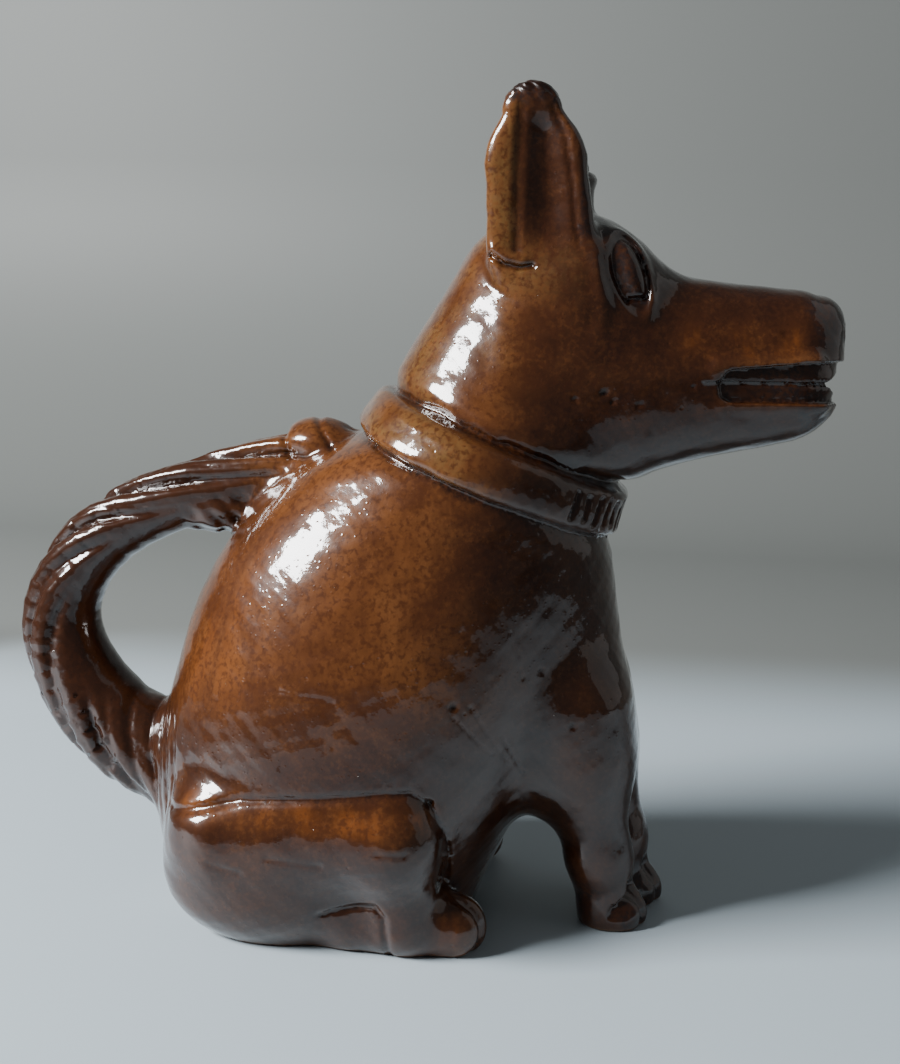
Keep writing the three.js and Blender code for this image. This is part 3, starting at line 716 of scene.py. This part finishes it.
def netted(values, low, step):
    """One point in each cell that the surface cuts, and a quad over each edge it crosses."""
    inside = values < 0
    shape = np.array(values.shape)
    corners = [np.array([i, j, k]) for i in (0, 1) for j in (0, 1) for k in (0, 1)]
    total = np.zeros(shape - 1, np.uint8)
    for i, j, k in corners:
        total += inside[i : shape[0] - 1 + i, j : shape[1] - 1 + j, k : shape[2] - 1 + k]
    active = (total > 0) & (total < 8)
    cells = np.argwhere(active)
    numbers = np.full(active.shape, -1, np.int64)
    numbers[active] = np.arange(len(cells))
    crossing = np.zeros((len(cells), 3))
    hits = np.zeros(len(cells))
    for corner in corners:
        for axis in range(3):
            if corner[axis]:
                continue
            other = corner.copy()
            other[axis] = 1
            first = values[tuple((cells + corner).T)].astype(float)
            second = values[tuple((cells + other).T)].astype(float)
            cut = (first < 0) != (second < 0)
            share = np.where(cut, first / np.where(cut, first - second, 1), 0)
            spot = corner + share[:, None] * (other - corner)
            crossing += spot * cut[:, None]
            hits += cut
    points = (cells + crossing / hits[:, None]) * step + low
    quads = []
    for axis in range(3):
        u, v = np.eye(3, dtype=int)[[(axis + 1) % 3, (axis + 2) % 3]]
        first = inside.take(range(0, shape[axis] - 1), axis=axis)
        second = inside.take(range(1, shape[axis]), axis=axis)
        spots = np.argwhere(first != second)
        roomy = np.all((spots - u - v >= 0) & (spots < shape - 1), axis=1)
        spots = spots[roomy]
        ring = [spots - u - v, spots - v, spots, spots - u]
        quad = np.stack([numbers[tuple(spot.T)] for spot in ring], 1)
        outward = first[tuple(spots.T)]
        quads.append(np.where(outward[:, None], quad, quad[:, ::-1]))
    return points, np.vstack(quads)


def slope_of(field, points, probe=0.05):
    """The value of a field at each point, and how it changes along the three axes."""
    value = field(*points.T)
    slopes = np.empty_like(points)
    for axis in range(3):
        beside = points.copy()
        beside[:, axis] += probe
        slopes[:, axis] = (field(*beside.T) - value) / probe
    return value, slopes


def laid_on(field, points, turns, reach):
    """Moves points down the slope of a field until they lie on its surface."""
    for _ in range(turns):
        value, slopes = slope_of(field, points)
        steepness = np.maximum((slopes**2).sum(1), 0.2)
        move = slopes * (value / steepness)[:, None]
        length = np.sqrt((move**2).sum(1))
        move *= np.minimum(1, reach / np.maximum(length, 1e-9))[:, None]
        points = points - move
    return points


def points_of(mesh):
    flat = np.empty(len(mesh.vertices) * 3)
    mesh.vertices.foreach_get("co", flat)
    return flat.reshape(-1, 3)


def thinned(piece, share, group=None):
    """Fewer faces on the whole piece, or only where the group's weight is one."""
    decimate = piece.modifiers.new("thinned", "DECIMATE")
    decimate.ratio = share
    if group:
        decimate.vertex_group = group
        decimate.vertex_group_factor = 50
    with bpy.context.temp_override(object=piece, active_object=piece):
        bpy.ops.object.modifier_apply(modifier=decimate.name)


grid_low = np.array([-124.0, -74.0, -4.0])
grid_high = np.array([176.0, 74.0, 296.0])


def fired_pitcher():
    """The netted surface, thinned most inside, laid on the form and shaded by its slope."""
    values = sampled(fired_form, grid_low, grid_high, net_step)
    points, quads = netted(values, grid_low, net_step)
    points = laid_on(fired_form, points, 2, 0.7 * net_step)
    mesh = bpy.data.meshes.new("glazed_pitcher")
    mesh.from_pydata((points * METRES).tolist(), [], quads.tolist())
    piece = bpy.data.objects.new("glazed_pitcher", mesh)
    bpy.context.scene.collection.objects.link(piece)
    in_hollow = np.abs(hollow(*points.T)) < 0.5
    group = piece.vertex_groups.new(name="inside")
    group.add(np.flatnonzero(in_hollow).tolist(), 1.0, "REPLACE")
    all_faces = 2 * len(quads)
    inner_faces = 2 * np.count_nonzero(in_hollow[quads].all(1))
    after_inside = all_faces - inner_faces + faces_inside
    thinned(piece, after_inside / all_faces, group.name)
    thinned(piece, min(1.0, (faces_outside + faces_inside) / after_inside))
    piece.vertex_groups.clear()
    mesh = piece.data
    points = laid_on(fired_form, points_of(mesh) / METRES, 2, 0.4)
    points = np.clip(points, np.array(cad_low) / METRES, np.array(cad_high) / METRES)
    mesh.vertices.foreach_set("co", (points * METRES).ravel())
    mesh.update()
    mesh.shade_smooth()
    slopes = slope_of(fired_form, points)[1]
    normals = slopes / np.linalg.norm(slopes, axis=1)[:, None].clip(1e-9)
    mesh.normals_split_custom_set_from_vertices(normals.tolist())
    return piece


pitcher = fired_pitcher()


# How the glaze lies: thin and ochre on raised parts, thick and dark where it runs together, with
# painted shade inside the vessel, under the eyes and on the front of the head, chest and throat.


def skin_bend(mesh, points, rounds):
    """How the skin bends at each point, above zero in hollows, averaged over neighbours."""
    edges = np.empty(len(mesh.edges) * 2, np.int64)
    mesh.edges.foreach_get("vertices", edges)
    first, second = edges.reshape(-1, 2).T
    count = np.bincount(edges, minlength=len(points)).astype(float)

    def neighbour_mean(values):
        total = np.bincount(first, values[second], len(values))
        return (total + np.bincount(second, values[first], len(values))) / count

    flat = np.empty(len(points) * 3)
    mesh.vertices.foreach_get("normal", flat)
    normals = flat.reshape(-1, 3)
    length = np.linalg.norm(points[first] - points[second], axis=1)
    spacing = np.bincount(first, length, len(points)) + np.bincount(second, length, len(points))
    spacing = spacing / count
    offset = np.stack([neighbour_mean(column) for column in points.T], 1) - points
    bend = np.clip(2 * (offset * normals).sum(1) / np.maximum(spacing, 0.1) ** 2, -0.8, 0.8)
    for _ in range(rounds):
        bend = 0.4 * bend + 0.6 * neighbour_mean(bend)
    return bend


def thin_glaze(x, y, z):
    """The ochre parts: rear of the collar, nape, rear of the ears and forehead."""
    on_collar = ease(collar_width / 2 + 2, collar_width / 2 - 1, np.abs(above_collar(x, z)))
    collar = on_collar * ease(60, 36, x + 4 * np.sin(0.5 * z)) * (x > -30)
    nape = ease(48, 20, x) * ease(176, 190, z)
    neck = 0.45 * ease(70, 40, x) * ease(178, 200, z) * ease(240, 225, z)
    ear_rear = 0.9 * ease(60, 55, x) * ease(232, 240, z)
    ear_foot = 0.8 * bell(z - 229, 7) * ease(44, 52, x) * ease(84, 74, x) * ease(16, 24, np.abs(y))
    return np.maximum.reduce([collar, nape, neck, ear_rear, ear_foot])


def orange_glaze(x, y, z):
    """The orange parts: sides of the snout, top of the haunches and rump, edges of the back."""
    snout = 0.7 * ease(106, 122, x) * ease(160, 150, x) * bell(z - 208, 7)
    haunch_top = 0.8 * bell(z - 51, 6) * ease(-56, -40, x) * ease(46, 34, x)
    haunch_top = haunch_top * ease(28, 38, np.abs(y))
    haunch_foot = 0.5 * ease(34, 44, x) * ease(60, 54, x) * ease(30, 18, z)
    rump = 0.55 * ease(-5, -45, x) * ease(66, 96, z) * ease(160, 130, z) * ease(-70, -60, x)
    return np.maximum.reduce([snout, haunch_top, haunch_foot, rump])


def dark_patches(x, y, z):
    """The blue-black parts: eyes, nose, lips, chin, inside and tips of the ears; a painted shadow
    under the brow round each eye; and the paws and hind feet, darker towards the floor.
    """
    eye = ease(3.4, 0.6, eyeball(x, y, z))
    # painted shadow under the brow, round each eye
    brow_shade = 0.62 * ease(14, 3, eyeball(x, y, z)) * ease(103, 93, x) * ease(214, 224, z)
    nose = ease(152, 160, x + 0.35 * (z - 214)) * ease(203, 208, z)
    lips = 0.5 * ease(7.5, 3.5, np.abs(z - mouth_height)) * ease(119, 128, x)
    chin = 0.7 * ease(146, 156, x + 0.5 * (z - 185)) * ease(190, 186, z)
    in_ear = 0.38 * ease(0.5, 3, ear_sink(x, z)) * ease(236, 246, z) * ease(26, 28, np.abs(y))
    ear_edge = 0.8 * ease(75, 81, x) * ease(236, 244, z)
    tip_shade = 0.7 * ease(279, 285, z)
    paws = 0.6 * ease(101, 108, x) * ease(24, 10, z) + 0.45 * ease(46, 56, x) * ease(24, 14, z)
    return np.maximum.reduce([eye, brow_shade, nose, lips, chin, in_ear, ear_edge, tip_shade, paws])


def red_brown_and_shade(x, z):
    """Dark red-brown, darker towards the bottom over legs and underside, thick on the tail, and
    painted shade on the chest, throat, snout and head.
    """
    # darker towards the bottom
    low = 0.95 * ease(104, 62, z)
    # painted shade on the chest, the head and the throat, which face away from the lamp
    front = 0.95 * ease(30, 74, x) * ease(166, 136, z)
    shaded_head = ease(52, 84, x) * ease(160, 170, z)
    shaded_throat = ease(48, 76, x) * ease(206, 182, z) * (z > 150)
    collar_front = ease(44, 68, x) * (z > 140) * (z < 178)
    in_ear = 0.9 * ease(57, 60, x) * ease(232, 243, z)
    fold = 0.8 * bell(x - 88, 3.5) * ease(204, 214, z) * ease(240, 232, z)
    tail_hair = ease(-54, -68, x)
    tail_top = 0.85 * ease(-16, -44, x) * ease(130, 138, z)
    parts = [low, front, shaded_head, shaded_throat, collar_front, in_ear, fold, tail_hair, tail_top]
    return np.maximum.reduce(parts)


def tail_glaze(x, z):
    """The dark even brown of the tail."""
    low = ease(-56, -70, x) * ease(36, 52, z)
    high = ease(-30, -50, x) * ease(126, 136, z)
    return np.maximum(low, high)


def worn_places(x, y, z):
    """Small chips where the body shows, at the ears' tips, the snout and the collar's edge."""
    worn = 0.9 * bell(z - 287.5, 2.2)
    for (px, py, pz), radius, deep in pits:
        gap = ((x - px) ** 2 + (y - py) ** 2 + (z - pz) ** 2) / (1.3 * radius) ** 2
        worn = np.maximum(worn, 0.9 * np.exp(-gap))
    return worn


def lay_glaze(mesh):
    """Keeps the places of each kind of glaze, and of the painted shade, on the mesh, three to a
    colour layer.
    """
    points = points_of(mesh) / METRES
    x, y, z = points.T
    fine_bend = skin_bend(mesh, points, 2)
    broad_bend = skin_bend(mesh, points, 14)
    in_hollow = (np.abs(hollow(x, y, z)) < 0.6).astype(float)
    on_tail = tail_glaze(x, z)
    # painted shade on the cheek below each eye
    painted_shade_below_eye = 0.4 * bell(x - 89, 6) * ease(192, 204, z) * ease(228, 218, z)
    # pooled glaze in the hollows, and painted shade over the whole inside of the vessel
    pooled_and_shade = clamp01(3.2 * fine_bend + 4.5 * broad_bend) + 0.9 * in_hollow
    pooled_and_shade = pooled_and_shade + painted_shade_below_eye * ease(16, 24, np.abs(y))
    height = above_collar(x, z)
    furrow = 0.85 * bell(height - collar_width / 2 - 1.3, 1.8) * ease(0, 45, x)
    furrow = furrow + 0.6 * bell(height + collar_width / 2 + 1.1, 1.4) * ease(25, 60, x)
    pooled_and_shade = pooled_and_shade + furrow
    thin = clamp01(-2.4 * fine_bend - 5.0 * broad_bend - 0.12) * (1 - 0.75 * on_tail)
    bare = ease(1.6, 0.5, z)
    masks = {
        "glaze_tone": [thin_glaze(x, y, z), orange_glaze(x, y, z), dark_patches(x, y, z)],
        "glaze_run_and_shade": [clamp01(pooled_and_shade), thin, red_brown_and_shade(x, z)],
        "glaze_wear": [bare, worn_places(x, y, z), on_tail],
    }
    for name, columns in masks.items():
        layer = mesh.color_attributes.new(name=name, type="FLOAT_COLOR", domain="POINT")
        values = np.ones((len(points), 4))
        for index, column in enumerate(columns):
            values[:, index] = clamp01(column)
        layer.data.foreach_set("color", values.ravel())


lay_glaze(pitcher.data)


# Small makers of shader nodes.


def shader_group(name, inputs, outputs):
    tree = bpy.data.node_groups.new(name, "ShaderNodeTree")
    for socket, kind in inputs.items():
        tree.interface.new_socket(socket, in_out="INPUT", socket_type=kind)
    for socket, kind in outputs.items():
        tree.interface.new_socket(socket, in_out="OUTPUT", socket_type=kind)
    start = tree.nodes.new("NodeGroupInput")
    end = tree.nodes.new("NodeGroupOutput")
    return tree, start.outputs, end.inputs


def feed(tree, socket, value):
    """Links a socket to another, or sets it to a colour or a number."""
    if isinstance(value, bpy.types.NodeSocket):
        tree.links.new(value, socket)
    elif isinstance(value, tuple):
        socket.default_value = (*value, 1)
    else:
        socket.default_value = value


def blended(tree, share, first, second):
    node = tree.nodes.new("ShaderNodeMix")
    node.data_type = "RGBA"
    feed(tree, node.inputs[0], share)
    feed(tree, node.inputs[6], first)
    feed(tree, node.inputs[7], second)
    return node.outputs[2]


def reckoned(tree, kind, first, second):
    """One step of arithmetic, such as ADD or MULTIPLY, on two values or sockets."""
    node = tree.nodes.new("ShaderNodeMath")
    node.operation = kind
    feed(tree, node.inputs[0], first)
    feed(tree, node.inputs[1], second)
    return node.outputs[0]


def stretched(tree, value, low, high, new_low=0.0, new_high=1.0):
    """A value eased from one range to another."""
    node = tree.nodes.new("ShaderNodeMapRange")
    node.interpolation_type = "SMOOTHSTEP"
    feed(tree, node.inputs[0], value)
    for index, number in enumerate((low, high, new_low, new_high)):
        feed(tree, node.inputs[index + 1], number)
    return node.outputs[0]


def cloudy(tree, spot, scale, detail=3.0, distortion=0.0):
    node = tree.nodes.new("ShaderNodeTexNoise")
    feed(tree, node.inputs["Vector"], spot)
    feed(tree, node.inputs["Scale"], scale)
    feed(tree, node.inputs["Detail"], detail)
    feed(tree, node.inputs["Distortion"], distortion)
    return node.outputs[0]


def specks(tree, spot, scale):
    """Distance to the nearest of many scattered spots, and a colour of its own for each."""
    node = tree.nodes.new("ShaderNodeTexVoronoi")
    feed(tree, node.inputs["Vector"], spot)
    feed(tree, node.inputs["Scale"], scale)
    return node.outputs["Distance"], node.outputs["Color"]


def squeezed(tree, spot, scale):
    node = tree.nodes.new("ShaderNodeMapping")
    feed(tree, node.inputs["Vector"], spot)
    node.inputs["Scale"].default_value = scale
    return node.outputs[0]


def split(tree, colour):
    node = tree.nodes.new("ShaderNodeSeparateColor")
    feed(tree, node.inputs[0], colour)
    return node.outputs[0], node.outputs[1], node.outputs[2]


def object_place(tree):
    return tree.nodes.new("ShaderNodeTexCoord").outputs["Object"]


# Colours of the glaze, from thin to thick; the red-brown and the near-black ones also serve as
# painted shade.
amber_brown = (0.112, 0.038, 0.0105)
deep_brown = (0.047, 0.0138, 0.0042)
# dark red-brown glaze, also used as painted shade on the chest, throat and head
red_glaze_and_shade = (0.0185, 0.0056, 0.0024)
ochre_glaze = (0.108, 0.054, 0.0165)
bright_orange = (0.15, 0.043, 0.007)
thin_edge = (0.14, 0.052, 0.016)
# nearly black: pooled glaze, worn chips, and painted shade inside the vessel and under the eyes
blackish_glaze_and_shade = (0.008, 0.003, 0.002)
blue_black = (0.0095, 0.0102, 0.0125)
tail_brown = (0.03, 0.0105, 0.0045)
fired_clay = (0.15, 0.085, 0.05)


def glaze_colour_group():
    """The colour of the glaze from its masks, mottled, streaked and speckled, with the painted
    shade the masks carry.
    """
    masks = ["Ochre", "Orange", "Dark", "Pooled_and_shade", "Thin", "Red", "Bare", "Worn", "Tail"]
    inputs = {mask: "NodeSocketFloat" for mask in masks}
    tree, given, result = shader_group("glaze_colour", inputs, {"Colour": "NodeSocketColor"})
    spot = object_place(tree)
    clouds = cloudy(tree, spot, 17, 4, 0.6)
    mottle = cloudy(tree, spot, 75, 5, 0.4)
    grain = cloudy(tree, spot, 640, 3)
    runs = cloudy(tree, squeezed(tree, spot, (1, 1, 0.13)), 95, 4, 0.3)

    colour = blended(tree, stretched(tree, clouds, 0.36, 0.64), amber_brown, deep_brown)
    colour = blended(tree, stretched(tree, mottle, 0.45, 0.72, 0, 0.55), colour, thin_edge)
    colour = blended(tree, stretched(tree, runs, 0.5, 0.74, 0, 0.5), colour, deep_brown)
    # red-brown glaze and painted shade on the chest, throat and head
    red_and_shade = reckoned(tree, "MULTIPLY", given["Red"], stretched(tree, mottle, 0.7, 0.35, 0.6, 1.0))
    colour = blended(tree, red_and_shade, colour, red_glaze_and_shade)
    orange = stretched(tree, runs, 0.62, 0.4, 0.15, 0.95)
    orange = reckoned(tree, "MULTIPLY", given["Orange"], orange)
    colour = blended(tree, orange, colour, bright_orange)
    ochre = reckoned(tree, "MULTIPLY", given["Ochre"], stretched(tree, mottle, 0.38, 0.6, 0.2, 1.0))
    colour = blended(tree, ochre, colour, ochre_glaze)
    thin = reckoned(tree, "MULTIPLY", given["Thin"], stretched(tree, mottle, 0.3, 0.65, 0.2, 0.9))
    colour = blended(tree, thin, colour, thin_edge)
    tail = reckoned(tree, "MULTIPLY", given["Tail"], stretched(tree, clouds, 0.3, 0.7, 0.55, 0.9))
    colour = blended(tree, tail, colour, tail_brown)
    # pooled glaze, and painted shade inside the vessel and under the eyes
    pooled_and_shade = reckoned(tree, "MULTIPLY", given["Pooled_and_shade"], 0.92)
    colour = blended(tree, pooled_and_shade, colour, blackish_glaze_and_shade)
    ragged = reckoned(tree, "ADD", given["Dark"], stretched(tree, mottle, 0.3, 0.7, -0.28, 0.28))
    colour = blended(tree, stretched(tree, ragged, 0.25, 0.8, 0, 0.93), colour, blue_black)

    gap, dot_tone = specks(tree, spot, 330)
    chosen = reckoned(tree, "GREATER_THAN", split(tree, dot_tone)[0], 0.9)
    dots = reckoned(tree, "MULTIPLY", stretched(tree, gap, 0.3, 0.1, 0, 0.25), chosen)
    colour = blended(tree, dots, colour, deep_brown)
    light_grain = stretched(tree, grain, 0.42, 0.7, 0, 0.6)
    grain_patches = stretched(tree, mottle, 0.35, 0.6, 0.25, 1)
    light_grain = reckoned(tree, "MULTIPLY", light_grain, grain_patches)
    off_tail = stretched(tree, given["Tail"], 0.0, 1.0, 1.0, 0.15)
    light_grain = reckoned(tree, "MULTIPLY", light_grain, off_tail)
    colour = blended(tree, light_grain, colour, amber_brown)
    dark_grain = stretched(tree, cloudy(tree, spot, 560, 5, 0.3), 0.44, 0.68, 0, 0.8)
    colour = blended(tree, dark_grain, colour, deep_brown)
    brushed = cloudy(tree, squeezed(tree, spot, (1, 1, 0.2)), 310, 3, 0.2)
    colour = blended(tree, stretched(tree, brushed, 0.45, 0.74, 0, 0.4), colour, deep_brown)

    # more red-brown and painted shade where there is little orange
    thick_red_and_shade = stretched(tree, given["Orange"], 0.0, 0.8, 0.5, 0.0)
    thick_red_and_shade = reckoned(tree, "MULTIPLY", given["Red"], thick_red_and_shade)
    colour = blended(tree, thick_red_and_shade, colour, red_glaze_and_shade)

    worn = reckoned(tree, "ADD", given["Worn"], stretched(tree, grain, 0.3, 0.7, -0.3, 0.3))
    colour = blended(tree, stretched(tree, worn, 0.45, 0.75, 0, 0.8), colour, blackish_glaze_and_shade)
    clay = blended(tree, stretched(tree, mottle, 0.3, 0.7), fired_clay, thin_edge)
    colour = blended(tree, given["Bare"], colour, clay)
    tree.links.new(colour, result["Colour"])
    return tree


def glaze_surface_group():
    """Roughness, gloss and fine height of the glaze: peel, ripples, bubbles and pinholes."""
    inputs = {mask: "NodeSocketFloat" for mask in ["Bare", "Worn"]}
    sockets = ["Roughness", "Gloss", "Height"]
    outputs = {socket: "NodeSocketFloat" for socket in sockets}
    tree, given, result = shader_group("glaze_surface", inputs, outputs)
    spot = object_place(tree)
    peel = cloudy(tree, spot, 900, 2)
    ripple = cloudy(tree, spot, 210, 3)
    patches = cloudy(tree, spot, 48, 4)
    gap, hole_tone = specks(tree, spot, 150)
    few = reckoned(tree, "GREATER_THAN", split(tree, hole_tone)[1], 0.86)
    holes = reckoned(tree, "MULTIPLY", stretched(tree, gap, 0.13, 0.03), few)
    bubble_gap, bubble_tone = specks(tree, spot, 560)
    raised = reckoned(tree, "GREATER_THAN", split(tree, bubble_tone)[2], 0.62)
    bubbles = reckoned(tree, "MULTIPLY", stretched(tree, bubble_gap, 0.34, 0.05), raised)
    height = reckoned(tree, "MULTIPLY", peel, 0.16)
    height = reckoned(tree, "ADD", height, reckoned(tree, "MULTIPLY", bubbles, 0.3))
    height = reckoned(tree, "ADD", height, reckoned(tree, "MULTIPLY", ripple, 0.5))
    height = reckoned(tree, "SUBTRACT", height, reckoned(tree, "MULTIPLY", holes, 0.8))
    rough = stretched(tree, patches, 0.35, 0.75, 0.035, 0.1)
    rough = reckoned(tree, "MAXIMUM", rough, reckoned(tree, "MULTIPLY", given["Worn"], 0.5))
    rough = reckoned(tree, "MAXIMUM", rough, reckoned(tree, "MULTIPLY", given["Bare"], 0.85))
    gloss = reckoned(tree, "MAXIMUM", given["Worn"], given["Bare"])
    gloss = reckoned(tree, "SUBTRACT", 1.0, reckoned(tree, "MULTIPLY", gloss, 0.9))
    tree.links.new(rough, result["Roughness"])
    tree.links.new(gloss, result["Gloss"])
    tree.links.new(height, result["Height"])
    return tree


def glaze_material():
    material = bpy.data.materials.new("amber_glaze")
    material.use_nodes = True
    tree = material.node_tree
    shader = tree.nodes["Principled BSDF"]
    masks = {}
    layers = {
        "glaze_tone": ("Ochre", "Orange", "Dark"),
        "glaze_run_and_shade": ("Pooled_and_shade", "Thin", "Red"),
        "glaze_wear": ("Bare", "Worn", "Tail"),
    }
    for layer, names in layers.items():
        node = tree.nodes.new("ShaderNodeAttribute")
        node.attribute_name = layer
        masks.update(zip(names, split(tree, node.outputs["Color"])))
    colour = tree.nodes.new("ShaderNodeGroup")
    colour.node_tree = glaze_colour_group()
    surface = tree.nodes.new("ShaderNodeGroup")
    surface.node_tree = glaze_surface_group()
    for group in (colour, surface):
        for socket in group.inputs:
            tree.links.new(masks[socket.name], socket)
    bump = tree.nodes.new("ShaderNodeBump")
    bump.inputs["Strength"].default_value = 1.0
    bump.inputs["Distance"].default_value = 0.00012
    tree.links.new(surface.outputs["Height"], bump.inputs["Height"])
    tree.links.new(colour.outputs["Colour"], shader.inputs["Base Color"])
    tree.links.new(surface.outputs["Roughness"], shader.inputs["Coat Roughness"])
    tree.links.new(surface.outputs["Gloss"], shader.inputs["Coat Weight"])
    tree.links.new(bump.outputs["Normal"], shader.inputs["Normal"])
    tree.links.new(bump.outputs["Normal"], shader.inputs["Coat Normal"])
    shader.inputs["Roughness"].default_value = 0.3
    shader.inputs["Specular IOR Level"].default_value = 0.12
    shader.inputs["IOR"].default_value = 1.5
    shader.inputs["Coat IOR"].default_value = 1.53
    return material


pitcher.data.materials.append(glaze_material())
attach(pitcher, "root")
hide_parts("dog_pitcher")


# The plain studio: a pale floor that curves up into a backdrop far behind.


pool_middle = (0.12, -0.02, 0.0)
pale_floor = (0.4, 0.47, 0.515)
dim_floor = (0.05, 0.05, 0.05)
shaded_front = (0.06, 0.065, 0.07)
grey_behind = (0.176, 0.186, 0.178)


def floor_material():
    """Pale round the object, dim further out, darker in front of it as a painted shadow, and grey
    where the floor turns up behind it.
    """
    material = bpy.data.materials.new("pale_floor")
    material.use_nodes = True
    tree = material.node_tree
    shader = tree.nodes["Principled BSDF"]
    spot = object_place(tree)
    from_middle = tree.nodes.new("ShaderNodeVectorMath")
    from_middle.operation = "DISTANCE"
    feed(tree, from_middle.inputs[0], spot)
    from_middle.inputs[1].default_value = pool_middle
    apart = tree.nodes.new("ShaderNodeSeparateXYZ")
    feed(tree, apart.inputs[0], spot)
    outside = stretched(tree, from_middle.outputs["Value"], 0.5, 0.56)
    colour = blended(tree, outside, pale_floor, dim_floor)
    # painted shadow on the floor in front of the object
    before = stretched(tree, apart.outputs["Y"], -0.12, -0.24, 0.0, 0.45)
    colour = blended(tree, before, colour, shaded_front)
    behind = stretched(tree, apart.outputs["Y"], 0.22, 0.42)
    colour = blended(tree, behind, colour, grey_behind)
    tree.links.new(colour, shader.inputs["Base Color"])
    shader.inputs["Roughness"].default_value = 0.55
    return material


def studio_floor():
    bend, front, back, half, top = 0.35, -1.6, 1.1, 2.6, 2.2
    bend_steps = 12
    rows = [(front, 0.0)]
    for step in range(bend_steps + 1):
        turn = math.radians(90 * step / bend_steps)
        rows.append((back - bend + bend * math.sin(turn), bend - bend * math.cos(turn)))
    rows.append((back, top))
    points = [(x, y, z) for y, z in rows for x in (-half, half)]
    faces = [(2 * i, 2 * i + 1, 2 * i + 3, 2 * i + 2) for i in range(len(rows) - 1)]
    mesh = bpy.data.meshes.new("studio_floor")
    mesh.from_pydata(points, [], faces)
    mesh.shade_smooth()
    mesh.materials.append(floor_material())
    piece = bpy.data.objects.new("studio_floor", mesh)
    bpy.context.scene.collection.objects.link(piece)


studio_floor()


def soft_lamp(name, place, target, width, height, power, colour):
    data = bpy.data.lights.new(name, "AREA")
    data.shape = "RECTANGLE"
    data.size, data.size_y = width, height
    data.energy = power
    data.color = colour
    lamp = bpy.data.objects.new(name, data)
    lamp.location = place
    lamp.rotation_mode = "QUATERNION"
    lamp.rotation_quaternion = (Vector(target) - Vector(place)).to_track_quat("-Z", "Y")
    bpy.context.scene.collection.objects.link(lamp)


middle = (0.02, 0.0, 0.14)
cool_white, warm_white = (0.98, 0.99, 1), (1, 0.98, 0.95)
soft_lamp("main_lamp", (-1.22, -0.62, 0.94), middle, 0.68, 0.44, 88, cool_white)
soft_lamp("fill_lamp", (2.0, 0.5, 1.2), middle, 3.4, 2.8, 9, warm_white)

world = bpy.data.worlds.new("room_light")
bpy.context.scene.world = world
world.use_nodes = True
world.node_tree.nodes["Background"].inputs["Color"].default_value = (0.62, 0.66, 0.7, 1)
world.node_tree.nodes["Background"].inputs["Strength"].default_value = 0.14


camera_place = (0.08714, -0.5247, 0.22444)
camera_turns = (5.5, 9.4, 1.5)


def photograph_camera():
    """Stands on the dog's right, turned to its rear a little, looking down a little."""
    yaw, pitch, roll = (math.radians(angle) for angle in camera_turns)
    forward = Vector(
        (-math.sin(yaw) * math.cos(pitch), math.cos(yaw) * math.cos(pitch), -math.sin(pitch))
    )
    right = forward.cross(Vector((0, 0, 1))).normalized()
    up = right.cross(forward)
    turned_right = right * math.cos(roll) + up * math.sin(roll)
    turned_up = up * math.cos(roll) - right * math.sin(roll)
    data = bpy.data.cameras.new("photograph_camera")
    image_height = 1064
    focal_pixels = 1500
    data.sensor_width = 36
    data.lens = focal_pixels * data.sensor_width / image_height
    data.clip_start, data.clip_end = 0.01, 50
    camera = bpy.data.objects.new("photograph_camera", data)
    turn = Matrix((turned_right, turned_up, -forward)).transposed().to_4x4()
    camera.matrix_world = Matrix.Translation(camera_place) @ turn
    bpy.context.scene.collection.objects.link(camera)
    bpy.context.scene.camera = camera


photograph_camera()
